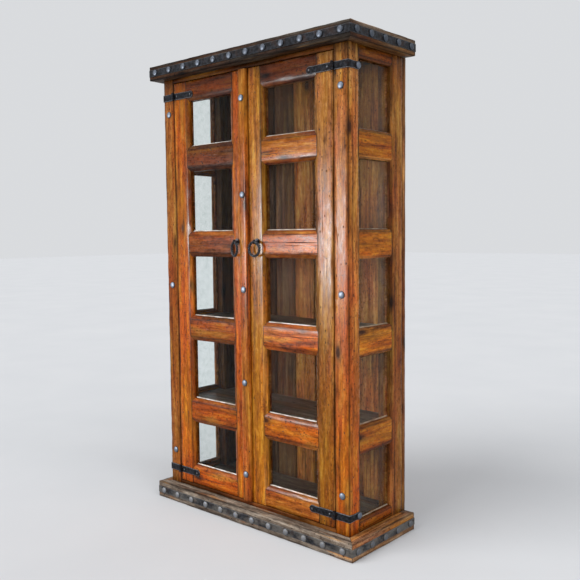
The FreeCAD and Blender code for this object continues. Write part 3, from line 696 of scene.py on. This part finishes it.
def iron(name, rust, metal, bare=0.0, dust=0.0, worked=True):
    """Forged iron with hammer dents, rust, edges rubbed bright and a film of dust."""
    tree = Surface(name, worked)
    dents = tree.noise(scale=85, detail=3)
    fine = tree.noise(scale=420)
    bloom = tree.noise(scale=24, detail=5, rough=0.65)
    colour = tree.mix(tree.band(dents, low=0.36, high=0.7), IRON_DARK, IRON_GREY)
    colour = tree.cover(colour, tree.band(bloom, low=0.48, high=0.66), rust, IRON_RUST)
    if worked:
        rub = tree.band(tree.attribute("wear", "Fac"), low=0.45, high=1.0)
        rub = tree.times(rub, tree.band(fine, low=0.35, high=0.6))
        colour = tree.cover(colour, rub, bare, IRON_BARE)
    if dust:
        film = tree.noise(scale=34, stretch=(0.5, 1, 1), detail=5, rough=0.65)
        colour = tree.cover(colour, tree.band(film, low=0.36, high=0.62), dust, IRON_DUST)
    rough = tree.level(bloom, gain=0.35, base=0.28, clamp=True)
    height = tree.level(fine, gain=0.2, base=dents)
    return tree.finish(colour, rough, height, bump=0.6, depth=1 * MM, Metallic=metal, Specular_IOR_Level=0.25)


NAIL_RIM, NAIL_TOP = srgb(40, 44, 51), srgb(108, 116, 129)
NAIL_STAIN, NAIL_DULL, NAIL_DUST = srgb(74, 72, 72), srgb(62, 64, 68), srgb(118, 112, 104)


def nail_metal(name):
    """Burnished nail heads, darker round the rim, some dusty or sooted."""
    tree = Surface(name)
    own, dusty, sooty = tree.tone()
    patch = tree.noise(scale=160)
    fine = tree.noise(scale=700, detail=3)
    rise = tree.attribute("wear", "Fac")
    colour = tree.mix(tree.band(rise, low=0.1, high=0.7), NAIL_RIM, NAIL_TOP)
    colour = tree.cover(colour, tree.band(patch, low=0.5, high=0.68), strength=0.6, over=NAIL_STAIN)
    colour = tree.cover(colour, own, strength=0.35, over=NAIL_DULL)
    colour = tree.mix(sooty, colour, IRON_DARK)
    colour = tree.cover(colour, dusty, tree.band(patch, low=0.3, high=0.6), NAIL_DUST)
    rough = tree.level(patch, gain=0.3, base=0.36)
    rough = tree.level(dusty, gain=0.3, base=rough, clamp=True)
    height = tree.level(fine, gain=0.2, base=patch)
    return tree.finish(colour, rough, height, bump=0.5, depth=0.6 * MM, Metallic=0.8)


GLASS_CLEAR, GLASS_DUSTY = srgb(250, 253, 252), srgb(236, 242, 240)


def glass(name):
    """Clear glass with a faint ripple and a little dust."""
    tree = Surface(name, worked=False)
    ripple = tree.noise(scale=5, detail=1)
    dust = tree.noise(scale=38, detail=6, rough=0.7)
    colour = tree.mix(tree.band(dust, low=0.4, high=0.75), GLASS_CLEAR, GLASS_DUSTY)
    rough = tree.level(tree.band(dust, low=0.55, high=0.85), gain=0.06, base=0.0)
    return tree.finish(colour, rough, ripple, bump=0.04, depth=1 * MM, Transmission_Weight=1.0, IOR=1.15)


# Putty whose pale colour also stands in as a painted glint along each pane's foot
def putty(name, clean, dirty):
    tree = Surface(name)
    patch = tree.noise(scale=60, stretch=(0.4, 1, 1), detail=5)
    colour = tree.mix(tree.band(patch, low=0.38, high=0.62), clean, dirty)
    rough = tree.level(patch, gain=0.3, base=0.25)
    return tree.finish(colour, rough, patch, bump=0.3, depth=0.5 * MM)


PINE_DOOR = wood("pine_door", gloss=0.27, streaks=0.35)
PINE_CARCASS = wood("pine_carcass", gloss=0.29, streaks=0.4)
PINE_SLAB = wood("pine_slab", gloss=0.6, streaks=0.5)
PINE_INSIDE = wood("pine_inside", gloss=0.5, streaks=0.5, dirt_and_shade=0.6)
# The shelves' low brightness is painted shade inside the cabinet, and their grey a painted reflection
INSIDE_BOARD = wood("pine_shelf", gloss=0.34, streaks=0.4, worked=False, tone=(0.35, 0.62, 1.0))
INSIDE_TRIM = wood("pine_trim", gloss=0.45, streaks=0.4, worked=False, tone=(0.55, 0.7, 0.2))
IRON = iron("iron", rust=0.2, metal=0.7, bare=1.0)
CROWN_IRON = iron("crown_iron", rust=0.3, metal=0.45, bare=0.2)
BASE_IRON = iron("base_iron", rust=0.4, metal=0.35, bare=0.3, dust=0.5)
# Bright bare iron on the ring's ridges: rubbed wear and a painted glint along the twist
RING_IRON = iron("ring_iron", rust=0.1, metal=0.75, bare=0.9)
PLAIN_IRON = iron("iron_small", rust=0.2, metal=0.75, worked=False)
STEEL = iron("steel", rust=0.05, metal=0.9, worked=False)
CLAVO = nail_metal("clavo")
GLASS = glass("glass")
# pale putty at the panes' feet: putty and a painted glint
PUTTY_AND_GLINT = putty("putty", clean=srgb(236, 232, 226), dirty=srgb(176, 160, 142))
OLD_PUTTY_AND_GLINT = putty("old_putty_and_glint", clean=srgb(168, 152, 132), dirty=srgb(104, 84, 62))


# Boards of the carcass

BOTTOM, TOP = "bottom", "top"
SEAT_EASE, INNER_EASE = 0.5 * MM, 1 * MM
CROWN_BOARDS, SEAM = 3, 0.4 * MM
POST_EASE = [4 * MM, 2.5 * MM, 1 * MM, 0, 1 * MM, 1.5 * MM, 1.5 * MM]
RAIL_SETBACK, RAIL_TUCK = 0.5 * MM, 0.6 * MM
DEPTH_SLACK = 0.1 * MM
BACK_LAP = 4.5 * MM


def rectangle(u0, v0, u1, v1):
    return [(u0, v0), (u1, v0), (u1, v1), (u0, v1)]


def slab_board(name, rebate, lower_ease, upper_ease):
    """A mitred board of the base or crown; the crown's are rebated for the panel."""
    low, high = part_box(name)
    axis = X if name.endswith(("front", "back")) else Y
    outer, inner = low[1 - axis], high[1 - axis]
    if name.endswith(("back", RIGHT)):
        outer, inner = inner, outer
    inside, ease = [(inner, high.z)], [INNER_EASE]
    if rebate:
        seat, ledge = inner - math.copysign(PANEL_SEAT, inner - outer), high.z - PANEL_THICK
        inside, ease = [(inner, ledge), (seat, ledge), (seat, high.z)], [SEAT_EASE] * 3
    section = [(outer, low.z), (inner, low.z), *inside, (outer, high.z)]
    pile = Pile(name)
    start, end = low[axis], high[axis]
    plank(pile, axis, section, lambda u, v: start + abs(u - outer), lambda u, v: end - abs(u - outer),
          TONES[name], [lower_ease, SEAT_EASE, *ease, upper_ease], sway=0.8 * MM, nibble=2.5 * MM,
          end_ease=0)
    pile.done(name + "_board", CABINET, "pine_slab", PINE_SLAB, [name])


def slabs():
    for where in ("front", "back", *SIDES):
        slab_board(f"base_{where}", False, lower_ease=3 * MM, upper_ease=5 * MM)
        slab_board(f"crown_{where}", True, lower_ease=4 * MM, upper_ease=4 * MM)
    low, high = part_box("crown_panel")
    pile = Pile("crown_panel")
    wide = (high.y - low.y) / CROWN_BOARDS
    for k in range(CROWN_BOARDS):
        section = rectangle(low.y + wide * k + SEAM, low.z, low.y + wide * (k + 1) - SEAM, high.z)
        plank(pile, X, section, low.x, high.x, TONES["crown_panel"])
    pile.done("crown_panel_boards", CABINET, "pine_slab", PINE_SLAB, ["crown_panel"])


def post_section(low, high, s, front):
    """A corner post, bevelled and rebated towards the side panes."""
    skin, inner = (high.x, low.x) if s > 0 else (low.x, high.x)
    near, far, back = (low.y, high.y, 1) if front else (high.y, low.y, -1)
    wide, deep = SIDE_BEVEL
    seat, pane = far - RABBET * back, skin - GLASS_SETBACK * s
    return [(skin, near), (inner, near), (inner, seat), (pane, seat), (pane, far), (skin - deep * s, far),
            (skin, far - wide * back)]


def post(where, side):
    name = f"{where}_{side}_post"
    low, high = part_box(name)
    middle, s, front = (low.x + high.x) / 2, SIGN[side], where == "front"

    # The inner half of a rear post is darkened: painted shade inside the cabinet
    def painted_inner_shade(x, y, own):
        inside = not front and (middle - x) * s > 0
        return Vector((own.x, own.y * REAR_POST_INSIDE[side], own.z)) if inside else own

    pile = Pile(name)
    tone, top_tone = UPRIGHT_TONES[name]
    plank(pile, Z, post_section(low, high, s, front), low.z, high.z, tone, POST_EASE, nibble=2 * MM,
          top_tone=top_tone, paint=painted_inner_shade)
    pile.done(name + "_timber", CABINET, "pine_carcass", PINE_CARCASS, [name])


def frame_rail(pile, box, along, face, inward, bevel, glazed, tone):
    """A rail between stiles: along is its length axis, face its outer plane, inward the way behind it."""
    low, high = box
    wide, deep = bevel

    def at(depth):
        return face + max(depth, RAIL_SETBACK) * inward

    def edge(name, z, up):
        """An edge from front to back, with bevel and rabbet where it holds panes."""
        if name not in glazed:
            return [(at(0), z), (at(FRAME_THICK), z)]
        seat = z + RABBET * up
        return [(at(0), z + wide * up), (at(deep), z), (at(GLASS_SETBACK), z), (at(GLASS_SETBACK), seat),
                (at(FRAME_THICK), seat)]

    def beyond(u):
        """How far the rail runs past the stile's bevel, by depth behind its face."""
        depth = abs(u - face)
        if depth <= deep:
            return wide * (1 - depth / deep) + RAIL_TUCK
        return RAIL_TUCK if depth <= GLASS_SETBACK + DEPTH_SLACK else RABBET

    section = edge(BOTTOM, low.z, 1) + edge(TOP, high.z, -1)[::-1]
    first, last = low[along] + wide, high[along] - wide
    plank(pile, along, section, lambda u, v: first - beyond(u), lambda u, v: last + beyond(u), tone, 1.5 * MM,
          nibble=1.4 * MM, end_ease=0, joint=1.0)


def side_frames():
    for side in SIDES:
        s = SIGN[side]
        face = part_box(f"front_{side}_post")[1 if s > 0 else 0].x
        for kind, edges, tones in (("end", ([TOP], [BOTTOM]), [SIDE_END] * 2),
                                   ("mid", [(TOP, BOTTOM)] * len(SIDE_MID), SIDE_MID)):
            name = f"{side}_side_{kind}_rails"
            pile = Pile(name)
            for box, glazed, tone in zip(solids(name), edges, tones):
                frame_rail(pile, box, Y, face, -s, SIDE_BEVEL, glazed, tone)
            pile.done(f"{side}_side_{kind}_timber", CABINET, "pine_carcass", PINE_CARCASS, [name])


def cross_rail(kind):
    name = f"{kind}_rail"
    low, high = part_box(name)
    pile = Pile(name)
    plank(pile, X, rectangle(low.y, low.z, high.y, high.z), low.x, high.x, TONES[name])
    pile.done(f"{kind}_timber", CABINET, "pine_carcass", PINE_CARCASS, [name])


def back():
    """Lapped upright boards, with painted light and shade on the inside and weathered outside."""
    pile = Pile("back_boards")
    boxes = solids("back_boards")
    for (low, high), tone in zip(boxes, TONES["back_boards"]):
        half = (low.y + high.y) / 2
        weather = Vector(board_tone(pile, BACK_TONE))
        section = rectangle(low.x, low.y, high.x, high.y)
        if high.x < boxes[-1][1].x:
            lap = high.x + BACK_LAP
            section[2:3] = [(high.x, half), (lap, half), (lap, high.y)]
        # inside faces take the painted light and shade of their tone, outside faces a weathered tone
        plank(pile, Z, section, low.z, high.z, tone, 2.5 * MM, sway=0.8 * MM,
              paint=lambda x, y, own: weather if y > half else own)
    pile.done("back_planks", CABINET, "pine_inside", PINE_INSIDE, ["back_boards"])


# Doors

STILE_EDGE = {"hinge": 3 * MM, "meeting": 1.2 * MM}
STILE_EASE = [2 * MM, 1 * MM, 1 * MM, 0, 1 * MM, 1 * MM]
DOOR_RAILS = {"bottom_rail": (TOP,), "top_rail": (BOTTOM,), "mid_rails": (TOP, BOTTOM)}
ASTRAGAL_WIDE, ASTRAGAL_DEEP, ASTRAGAL_PARTS = 15 * MM, 11 * MM, 5


def stile(body, kind, way):
    """A door's upright; way points from its outer edge towards the panes."""
    name = f"{body}_{kind}_stile"
    low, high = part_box(name)
    outer = low.x if way > 0 else high.x
    width = high.x - low.x
    wide, deep = DOOR_BEVEL
    spots = [(0, 0), (width - wide, 0), (width, deep), (width, GLASS_SETBACK),
             (width - RABBET, GLASS_SETBACK), (width - RABBET, FRAME_THICK), (0, FRAME_THICK)]
    section = [(outer + x * way, low.y + y) for x, y in spots]
    edge = STILE_EDGE[kind]
    pile = Pile(name)
    tone, top_tone = UPRIGHT_TONES[name]
    plank(pile, Z, section, low.z, high.z, tone, [edge] + STILE_EASE, sway=0.3 * MM, nibble=edge / 2,
          top_tone=top_tone)
    pile.done(f"{body}_{kind}_timber", body, "pine_door", PINE_DOOR, [name])


def astragal():
    """The rounded strip over the gap between the doors."""
    low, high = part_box("astragal")
    angles = [part / ASTRAGAL_PARTS * math.pi / 2 for part in range(ASTRAGAL_PARTS + 1)]
    rounding = [(low.x + ASTRAGAL_WIDE * (1 - math.sin(a)), low.y + ASTRAGAL_DEEP * (1 - math.cos(a)))
                for a in angles]
    section = rounding + [(low.x, high.y), (high.x, high.y)]
    section += [(low.x + high.x - x, y) for x, y in reversed(rounding)]
    pile = Pile("astragal")
    plank(pile, Z, section, low.z, high.z, TONES["astragal"], radii=0, step=9 * MM)
    pile.done("astragal_timber", "left_door", "pine_door", PINE_DOOR, ["astragal"])


def door(side):
    body = f"{side}_door"
    stile(body, "hinge", -SIGN[side])
    stile(body, "meeting", SIGN[side])
    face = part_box(f"{body}_hinge_stile")[0].y
    for kind, glazed in DOOR_RAILS.items():
        name = f"{body}_{kind}"
        pile = Pile(name)
        for box, tone in zip(solids(name), TONES[name]):
            frame_rail(pile, box, X, face, 1, DOOR_BEVEL, glazed, tone)
        pile.done(f"{name}_timber", body, "pine_door", PINE_DOOR, [name])


# Bands, nails, hinges and ring pulls

BAND_STEP, BAND_COLUMNS = 16 * MM, 9
STRAP_STEP, STRAP_BEND = 7 * MM, 2 * MM
STRAP_HALF = STRAP_HEIGHT / 2
END_STEPS, END_LEAST = 7, 2 * MM
WAIST, WAIST_PLACE, WAIST_REACH = 0.1, 2.6 * STRAP_HALF, 0.9 * STRAP_HALF
KNUCKLE_EASE, KNUCKLE_WAIST, KNUCKLE_FACETS = 0.9 * MM, 0.97, 20
HINGE_START = KNUCKLE_RADIUS + KNUCKLE_CLEAR
TONGUE_REACH, TONGUE_HEIGHT = HINGE_START * 1.2, 0.96
RIVETS = (26 * MM, LEAF_REACH)
# Dust and soot on nail heads
RUBBED, DUSTED, SOOTED = (0, 0), (0.6, 0.1), (0, 0.45)
RING_TURNS, RING_STEPS, RING_CORNERS = 9, 144, 8
RIDGE, GROOVE = RING_WIRE * 1.2, RING_WIRE * 0.95


def steps(a, b, gap):
    """Places from a to b, ends included, no further apart than gap."""
    a, b = Vector(a), Vector(b)
    count = max(1, math.ceil((b - a).length / gap))
    return [tuple(a + (b - a) * k / count) for k in range(count + 1)]


def band(name, material):
    """An iron strap round the front and both sides of a slab."""
    low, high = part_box(name)
    x, y0, y1 = high.x - BAND_THICK, low.y + BAND_THICK, high.y
    turn_x, turn_y = x - STRAP_BEND, y0 + STRAP_BEND
    path = [*steps((-x, y1), (-x, turn_y), BAND_STEP), *steps((-turn_x, y0), (turn_x, y0), BAND_STEP),
            *steps((x, turn_y), (x, y1), BAND_STEP)]
    pile = Pile(name)
    ribbon(pile, path, [high.z - low.z] * len(path), (low.z + high.z) / 2, BAND_THICK, BAND_COLUMNS)
    pile.done(name + "_strap", CABINET, "iron", material, [name])


def nails(node, body):
    """Dome-headed nails that face the front or a side."""
    pile = Pile(node)
    for low, high in solids(node):
        size = high - low
        base = (low + high) / 2
        finish = SOOTED if base.z > CROWN_UNDER else DUSTED if base.z < FOOT else RUBBED
        out = Vector(FRONT if size.y < size.x else (math.copysign(1, base.x), 0, 0))
        base += out * (abs(size.dot(out)) / 2 - HEAD_HEIGHT)
        dome(pile, base, out, HEAD_RADIUS, HEAD_HEIGHT, finish=finish)
    pile.done(node + "_heads", body, "clavo", CLAVO, [node], angle=30)


def tip_width(left):
    """A strap's width at a distance from its round end, with a slight waist."""
    if left < STRAP_HALF:
        return max(END_LEAST, 2 * math.sqrt(max(0.0, STRAP_HALF ** 2 - (STRAP_HALF - left) ** 2)))
    return STRAP_HEIGHT * (1 - WAIST * math.exp(-((left - WAIST_PLACE) / WAIST_REACH) ** 2))


def round_end_marks(start, end):
    """Distances along a strap, close together in its round end."""
    straight = end - STRAP_HALF - start
    count = max(1, round(straight / STRAP_STEP))
    marks = [start + straight * k / count for k in range(count + 1)]
    angles = (math.pi / 2 * k / END_STEPS for k in range(1, END_STEPS + 1))
    return marks + [end - STRAP_HALF + STRAP_HALF * math.sin(angle) for angle in angles]


def strap(pile, path, widths, z):
    """A hinge strap with its front outward, whichever way its path runs."""
    if path[0][0] > path[-1][0]:
        path, widths = path[::-1], widths[::-1]
    ribbon(pile, path, widths, z, STRAP_THICK)


def barrel(pile, x, y, z0, z1):
    """A knuckle round the hinge pin."""
    shift = pile.shift()
    r, e = KNUCKLE_RADIUS, KNUCKLE_EASE
    levels = [(r - e, z0), (r, z0 + e), (r * KNUCKLE_WAIST, (z0 + z1) / 2), (r, z1 - e), (r - e, z1)]

    def vertex(radius, z, angle):
        place = Vector((x + radius * math.cos(angle), y + radius * math.sin(angle), z))
        return place, place + shift, 0.0, NO_TONE

    pile.add_rings(rounds(levels, KNUCKLE_FACETS, vertex))


def tongue(pile, x, face, way, z, height):
    """Joins a knuckle to its strap."""
    strap(pile, [(x, face), (x + way * TONGUE_REACH, face)], [height * TONGUE_HEIGHT] * 2, z)


def door_leaf(pile, pin, face, s):
    """A hinge's half on the door: strap, one knuckle and rivets."""
    x, y, z = pin
    end = LEAF_REACH + STRAP_HALF
    marks = round_end_marks(HINGE_START, end)
    strap(pile, [(x - s * m, face) for m in marks], [tip_width(end - m) for m in marks], z)
    barrel(pile, x, y, z - KNUCKLE_HEIGHT / 2, z + KNUCKLE_HEIGHT / 2)
    for reach in RIVETS:
        dome(pile, (x - s * reach, face - STRAP_THICK, z), FRONT, radius=5.5 * MM, height=3 * MM,
             facets=10, rows=3)
    tongue(pile, x, face, -s, z, KNUCKLE_HEIGHT)


def post_strap(pile, pin, face, s, corner):
    """A hinge's half on the post: strap bent round the corner and two knuckles."""
    x, y, z = pin
    end = SIDE_LEG + STRAP_HALF
    path = steps((x + s * HINGE_START, face), (corner - s * STRAP_BEND, face), STRAP_STEP)
    marks = round_end_marks(STRAP_BEND, end)
    widths = [STRAP_HEIGHT] * len(path) + [tip_width(end - m) for m in marks]
    strap(pile, path + [(corner, face + m) for m in marks], widths, z)
    near = KNUCKLE_HEIGHT / 2 + KNUCKLE_CLEAR
    for z0, z1 in ((near, STRAP_HALF), (-STRAP_HALF, -near)):
        barrel(pile, x, y, z + z0, z + z1)
        tongue(pile, x, face, s, z + (z0 + z1) / 2, z1 - z0)


def hinges(side):
    s = SIGN[side]
    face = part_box("left_door_hinge_stile")[0].y
    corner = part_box(f"front_{side}_post")[1 if s > 0 else 0].x
    leaves, straps = Pile(side + "leaf"), Pile(side + "strap")
    for low, high in solids("hinge_pins"):
        if low.x * s > 0:
            pin = ((low.x + high.x) / 2, (low.y + high.y) / 2, low.z + STRAP_HALF)
            door_leaf(leaves, pin, face, s)
            post_strap(straps, pin, face, s, corner)
    leaves.done(f"{side}_leaf_iron", f"{side}_door", "iron", IRON, [f"{side}_door_hinge_leaves"])
    straps.done(f"{side}_strap_iron", CABINET, "iron", IRON, [f"{side}_hinge_straps"])


def ring_pull(side):
    """A ring of square iron bar with a rope twist."""
    name = f"{side}_door_ring"
    centre = sum(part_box(name), Vector()) / 2
    facing = Matrix.Rotation(RING_TURN[side], 3, "Z")
    out = facing @ Vector((0, 1, 0))

    def vertex(step, corner):
        angle = math.tau * step / RING_STEPS
        lead = facing @ Vector((math.cos(angle), 0, math.sin(angle)))
        spin = math.tau * corner / RING_CORNERS + angle * RING_TURNS / 2
        # ridges count as worn and take bare iron: rubbed wear and a painted glint
        bulge, wear = (GROOVE, 0.0) if corner % 2 else (RIDGE, 1.0)
        place = centre + lead * (RING_RADIUS + bulge * math.cos(spin)) + out * bulge * math.sin(spin)
        return place, place, wear, NO_TONE

    loop = [[vertex(step, corner) for corner in range(RING_CORNERS)] for step in range(RING_STEPS)]
    pile = Pile(name)
    pile.add_rings(loop, closing=round(RING_CORNERS * RING_TURNS / 2) % RING_CORNERS)
    pile.done(f"{side}_ring_pull", f"{side}_ring", "iron", RING_IRON, [name], angle=60)


# Glass and what holds it

PUTTY_HIGH, PUTTY_DEEP, PUTTY_SINK = 4 * MM, 4 * MM, 0.2 * MM
PUTTY_INSET = RABBET - 1 * MM


def putty_and_glint_line(pile, pane, axis, face, out):
    """A line of putty along a pane's foot, its pale colour also a painted glint."""
    low, high = pane
    z = low.z + PUTTY_INSET
    section = [(face + PUTTY_DEEP * out, z - PUTTY_SINK), (face, z - PUTTY_SINK), (face, z + PUTTY_HIGH)]
    plank(pile, axis, section, low[axis] + PUTTY_INSET, high[axis] - PUTTY_INSET, PLAIN_TONE, 0.4 * MM,
          sway=0.3 * MM, nibble=0.5 * MM, end_ease=0)


def putty_and_glint_lines():
    for side in SIDES:
        pile = Pile("putty" + side)
        for pane in solids(f"{side}_door_glass"):
            putty_and_glint_line(pile, pane, X, pane[0].y, -1)
        pile.done(f"{side}_door_putty_and_glint", f"{side}_door", "pine_door", PUTTY_AND_GLINT)
    pile = Pile("putty sides")
    for side in SIDES:
        s = SIGN[side]
        for pane in solids(f"{side}_side_glass"):
            putty_and_glint_line(pile, pane, Y, pane[1 if s > 0 else 0].x, s)
    pile.done("side_putty", CABINET, "pine_carcass", OLD_PUTTY_AND_GLINT)


def dress(material, *names, eased_edges=True):
    """Finishes solids whose shape stays."""
    for name in names:
        node = frame["nodes"][name]
        if not node.material_slots:
            node.data.materials.append(material)
        for slot in node.material_slots:
            slot.material = material
        if eased_edges:
            node.modifiers.new("weld", "WELD").merge_threshold = WELD_GRID
            bevel = node.modifiers.new("ease", "BEVEL")
            bevel.width, bevel.segments, bevel.limit_method = 0.8 * MM, 2, "ANGLE"


def carried_over():
    dress(INSIDE_BOARD, "floor_board", "shelf_1", "shelf_2", "shelf_3", "shelf_4")
    dress(INSIDE_TRIM, "shelf_cleats", "side_beads", "left_door_beads", "right_door_beads", "door_catches")
    dress(PLAIN_IRON, "hinge_pins", "left_door_pull_eye", "right_door_pull_eye")
    dress(STEEL, "left_door_strike", "right_door_strike")
    dress(GLASS, "left_door_glass", "left_side_glass", "right_door_glass", "right_side_glass",
          eased_edges=False)


# Stage, light and camera

CAMERA_PLACE = (2.3586, -2.5497, 1.3202)
CAMERA_AZIMUTH, CAMERA_PITCH, CAMERA_ROLL = (math.radians(angle) for angle in (41.6316, -4.3067, -0.5612))
CAMERA_LENS, CAMERA_SENSOR = 46.41, 36.0
FLOOR_REACH = 40.0
FLOOR_TONES = (srgb(208, 210, 213), srgb(218, 219, 221))
WORLD_COLOUR = srgb(240, 242, 245)
WORLD_LIGHT, BACKDROP = 0.5, 0.8
# A tall window's gloss, on the pieces whose names start so
SHEEN_ON = ("left_door", "right_door", "astragal", "front_right", "clavos")
SHEEN_PLACE, SHEEN_TARGET = Vector((-1.73, -3.02, 1.28)), Vector((0.4, -0.2, 1.28))
SHEEN_SIZE, SHEEN_POWER = (0.36, 0.8), 180


def placed(name, data, place, turned):
    """Puts a camera, lamp or floor in the scene."""
    thing = bpy.data.objects.new(name, data)
    thing.matrix_world = Matrix.Translation(place) @ turned.to_4x4()
    bpy.context.scene.collection.objects.link(thing)
    return thing


def camera():
    data = bpy.data.cameras.new("camera")
    data.lens, data.sensor_width = CAMERA_LENS, CAMERA_SENSOR
    level = Matrix.Rotation(CAMERA_AZIMUTH, 3, "Z") @ Matrix.Rotation(math.pi / 2 + CAMERA_PITCH, 3, "X")
    turned = level @ Matrix.Rotation(CAMERA_ROLL, 3, "Z")
    bpy.context.scene.camera = placed("camera", data, CAMERA_PLACE, turned)


def stage():
    """A pale floor that takes the shadow."""
    mesh = bpy.data.meshes.new("floor")
    corners = rectangle(-FLOOR_REACH, -FLOOR_REACH, FLOOR_REACH, FLOOR_REACH)
    mesh.from_pydata([(x, y, 0) for x, y in corners], [], [(0, 1, 2, 3)])
    tree = Surface("floor", worked=False)
    colour = tree.mix(tree.noise(scale=1.3, detail=5), *FLOOR_TONES)
    mesh.materials.append(tree.finish(colour, rough=0.75, Specular_IOR_Level=0.0))
    placed("floor", mesh, (0, 0, 0), Matrix.Identity(3))


def world():
    """Plain light all round; the camera, mirrors and glass see a paler backdrop."""
    sky = bpy.data.worlds.new("studio")
    bpy.context.scene.world = sky
    tree = Tree(sky)
    ray = tree.add("LightPath").outputs
    seen = tree.math("MAXIMUM", ray["Is Camera Ray"], ray["Is Glossy Ray"])
    seen = tree.math("MAXIMUM", seen, ray["Is Transmission Ray"])
    strength = tree.level(seen, BACKDROP - WORLD_LIGHT, WORLD_LIGHT)
    shade = tree.add("Background", {"Color": WORLD_COLOUR, "Strength": strength})
    tree.links.new(shade.outputs[0], tree.add("OutputWorld").inputs["Surface"])


def shining(way):
    """The turn that points a lamp along way."""
    return way.to_track_quat("-Z", "Y").to_matrix()


def sun_light(name, azimuth, elevation, spread, power):
    """A soft far light; azimuth 0 comes from the front, 90 from the right."""
    data = bpy.data.lights.new(name, "SUN")
    data.energy, data.angle = power, math.radians(spread)
    a, e = math.radians(azimuth), math.radians(elevation)
    source = Vector((math.sin(a) * math.cos(e), -math.cos(a) * math.cos(e), math.sin(e)))
    placed(name, data, (0, 0, 0), shining(-source))


def sheen_light():
    data = bpy.data.lights.new("window_sheen", "AREA")
    data.energy, data.shape = SHEEN_POWER, "RECTANGLE"
    data.size, data.size_y = SHEEN_SIZE
    lamp = placed("window_sheen", data, SHEEN_PLACE, shining(SHEEN_TARGET - SHEEN_PLACE))
    lamp.visible_diffuse = False
    group = bpy.data.collections.new("window_sheen_faces")
    for piece in bpy.context.scene.objects:
        if piece.name.startswith(SHEEN_ON):
            group.objects.link(piece)
    lamp.light_linking.receiver_collection = group


slabs()
for where in ("front", "rear"):
    for side in SIDES:
        post(where, side)
side_frames()
cross_rail("header")
cross_rail("sill")
back()
for side in SIDES:
    door(side)
astragal()
band("base_band", BASE_IRON)
band("crown_band", CROWN_IRON)
nails("clavos", CABINET)
nails("astragal_clavos", "left_door")
for side in SIDES:
    hinges(side)
for side in SIDES:
    ring_pull(side)
putty_and_glint_lines()
carried_over()
camera()
stage()
world()
sun_light("front_sun", azimuth=-22, elevation=42, spread=45, power=1.9)
sun_light("side_sun", azimuth=75, elevation=40, spread=50, power=1.2)
sheen_light()
bpy.context.scene.view_settings.view_transform = "Standard"
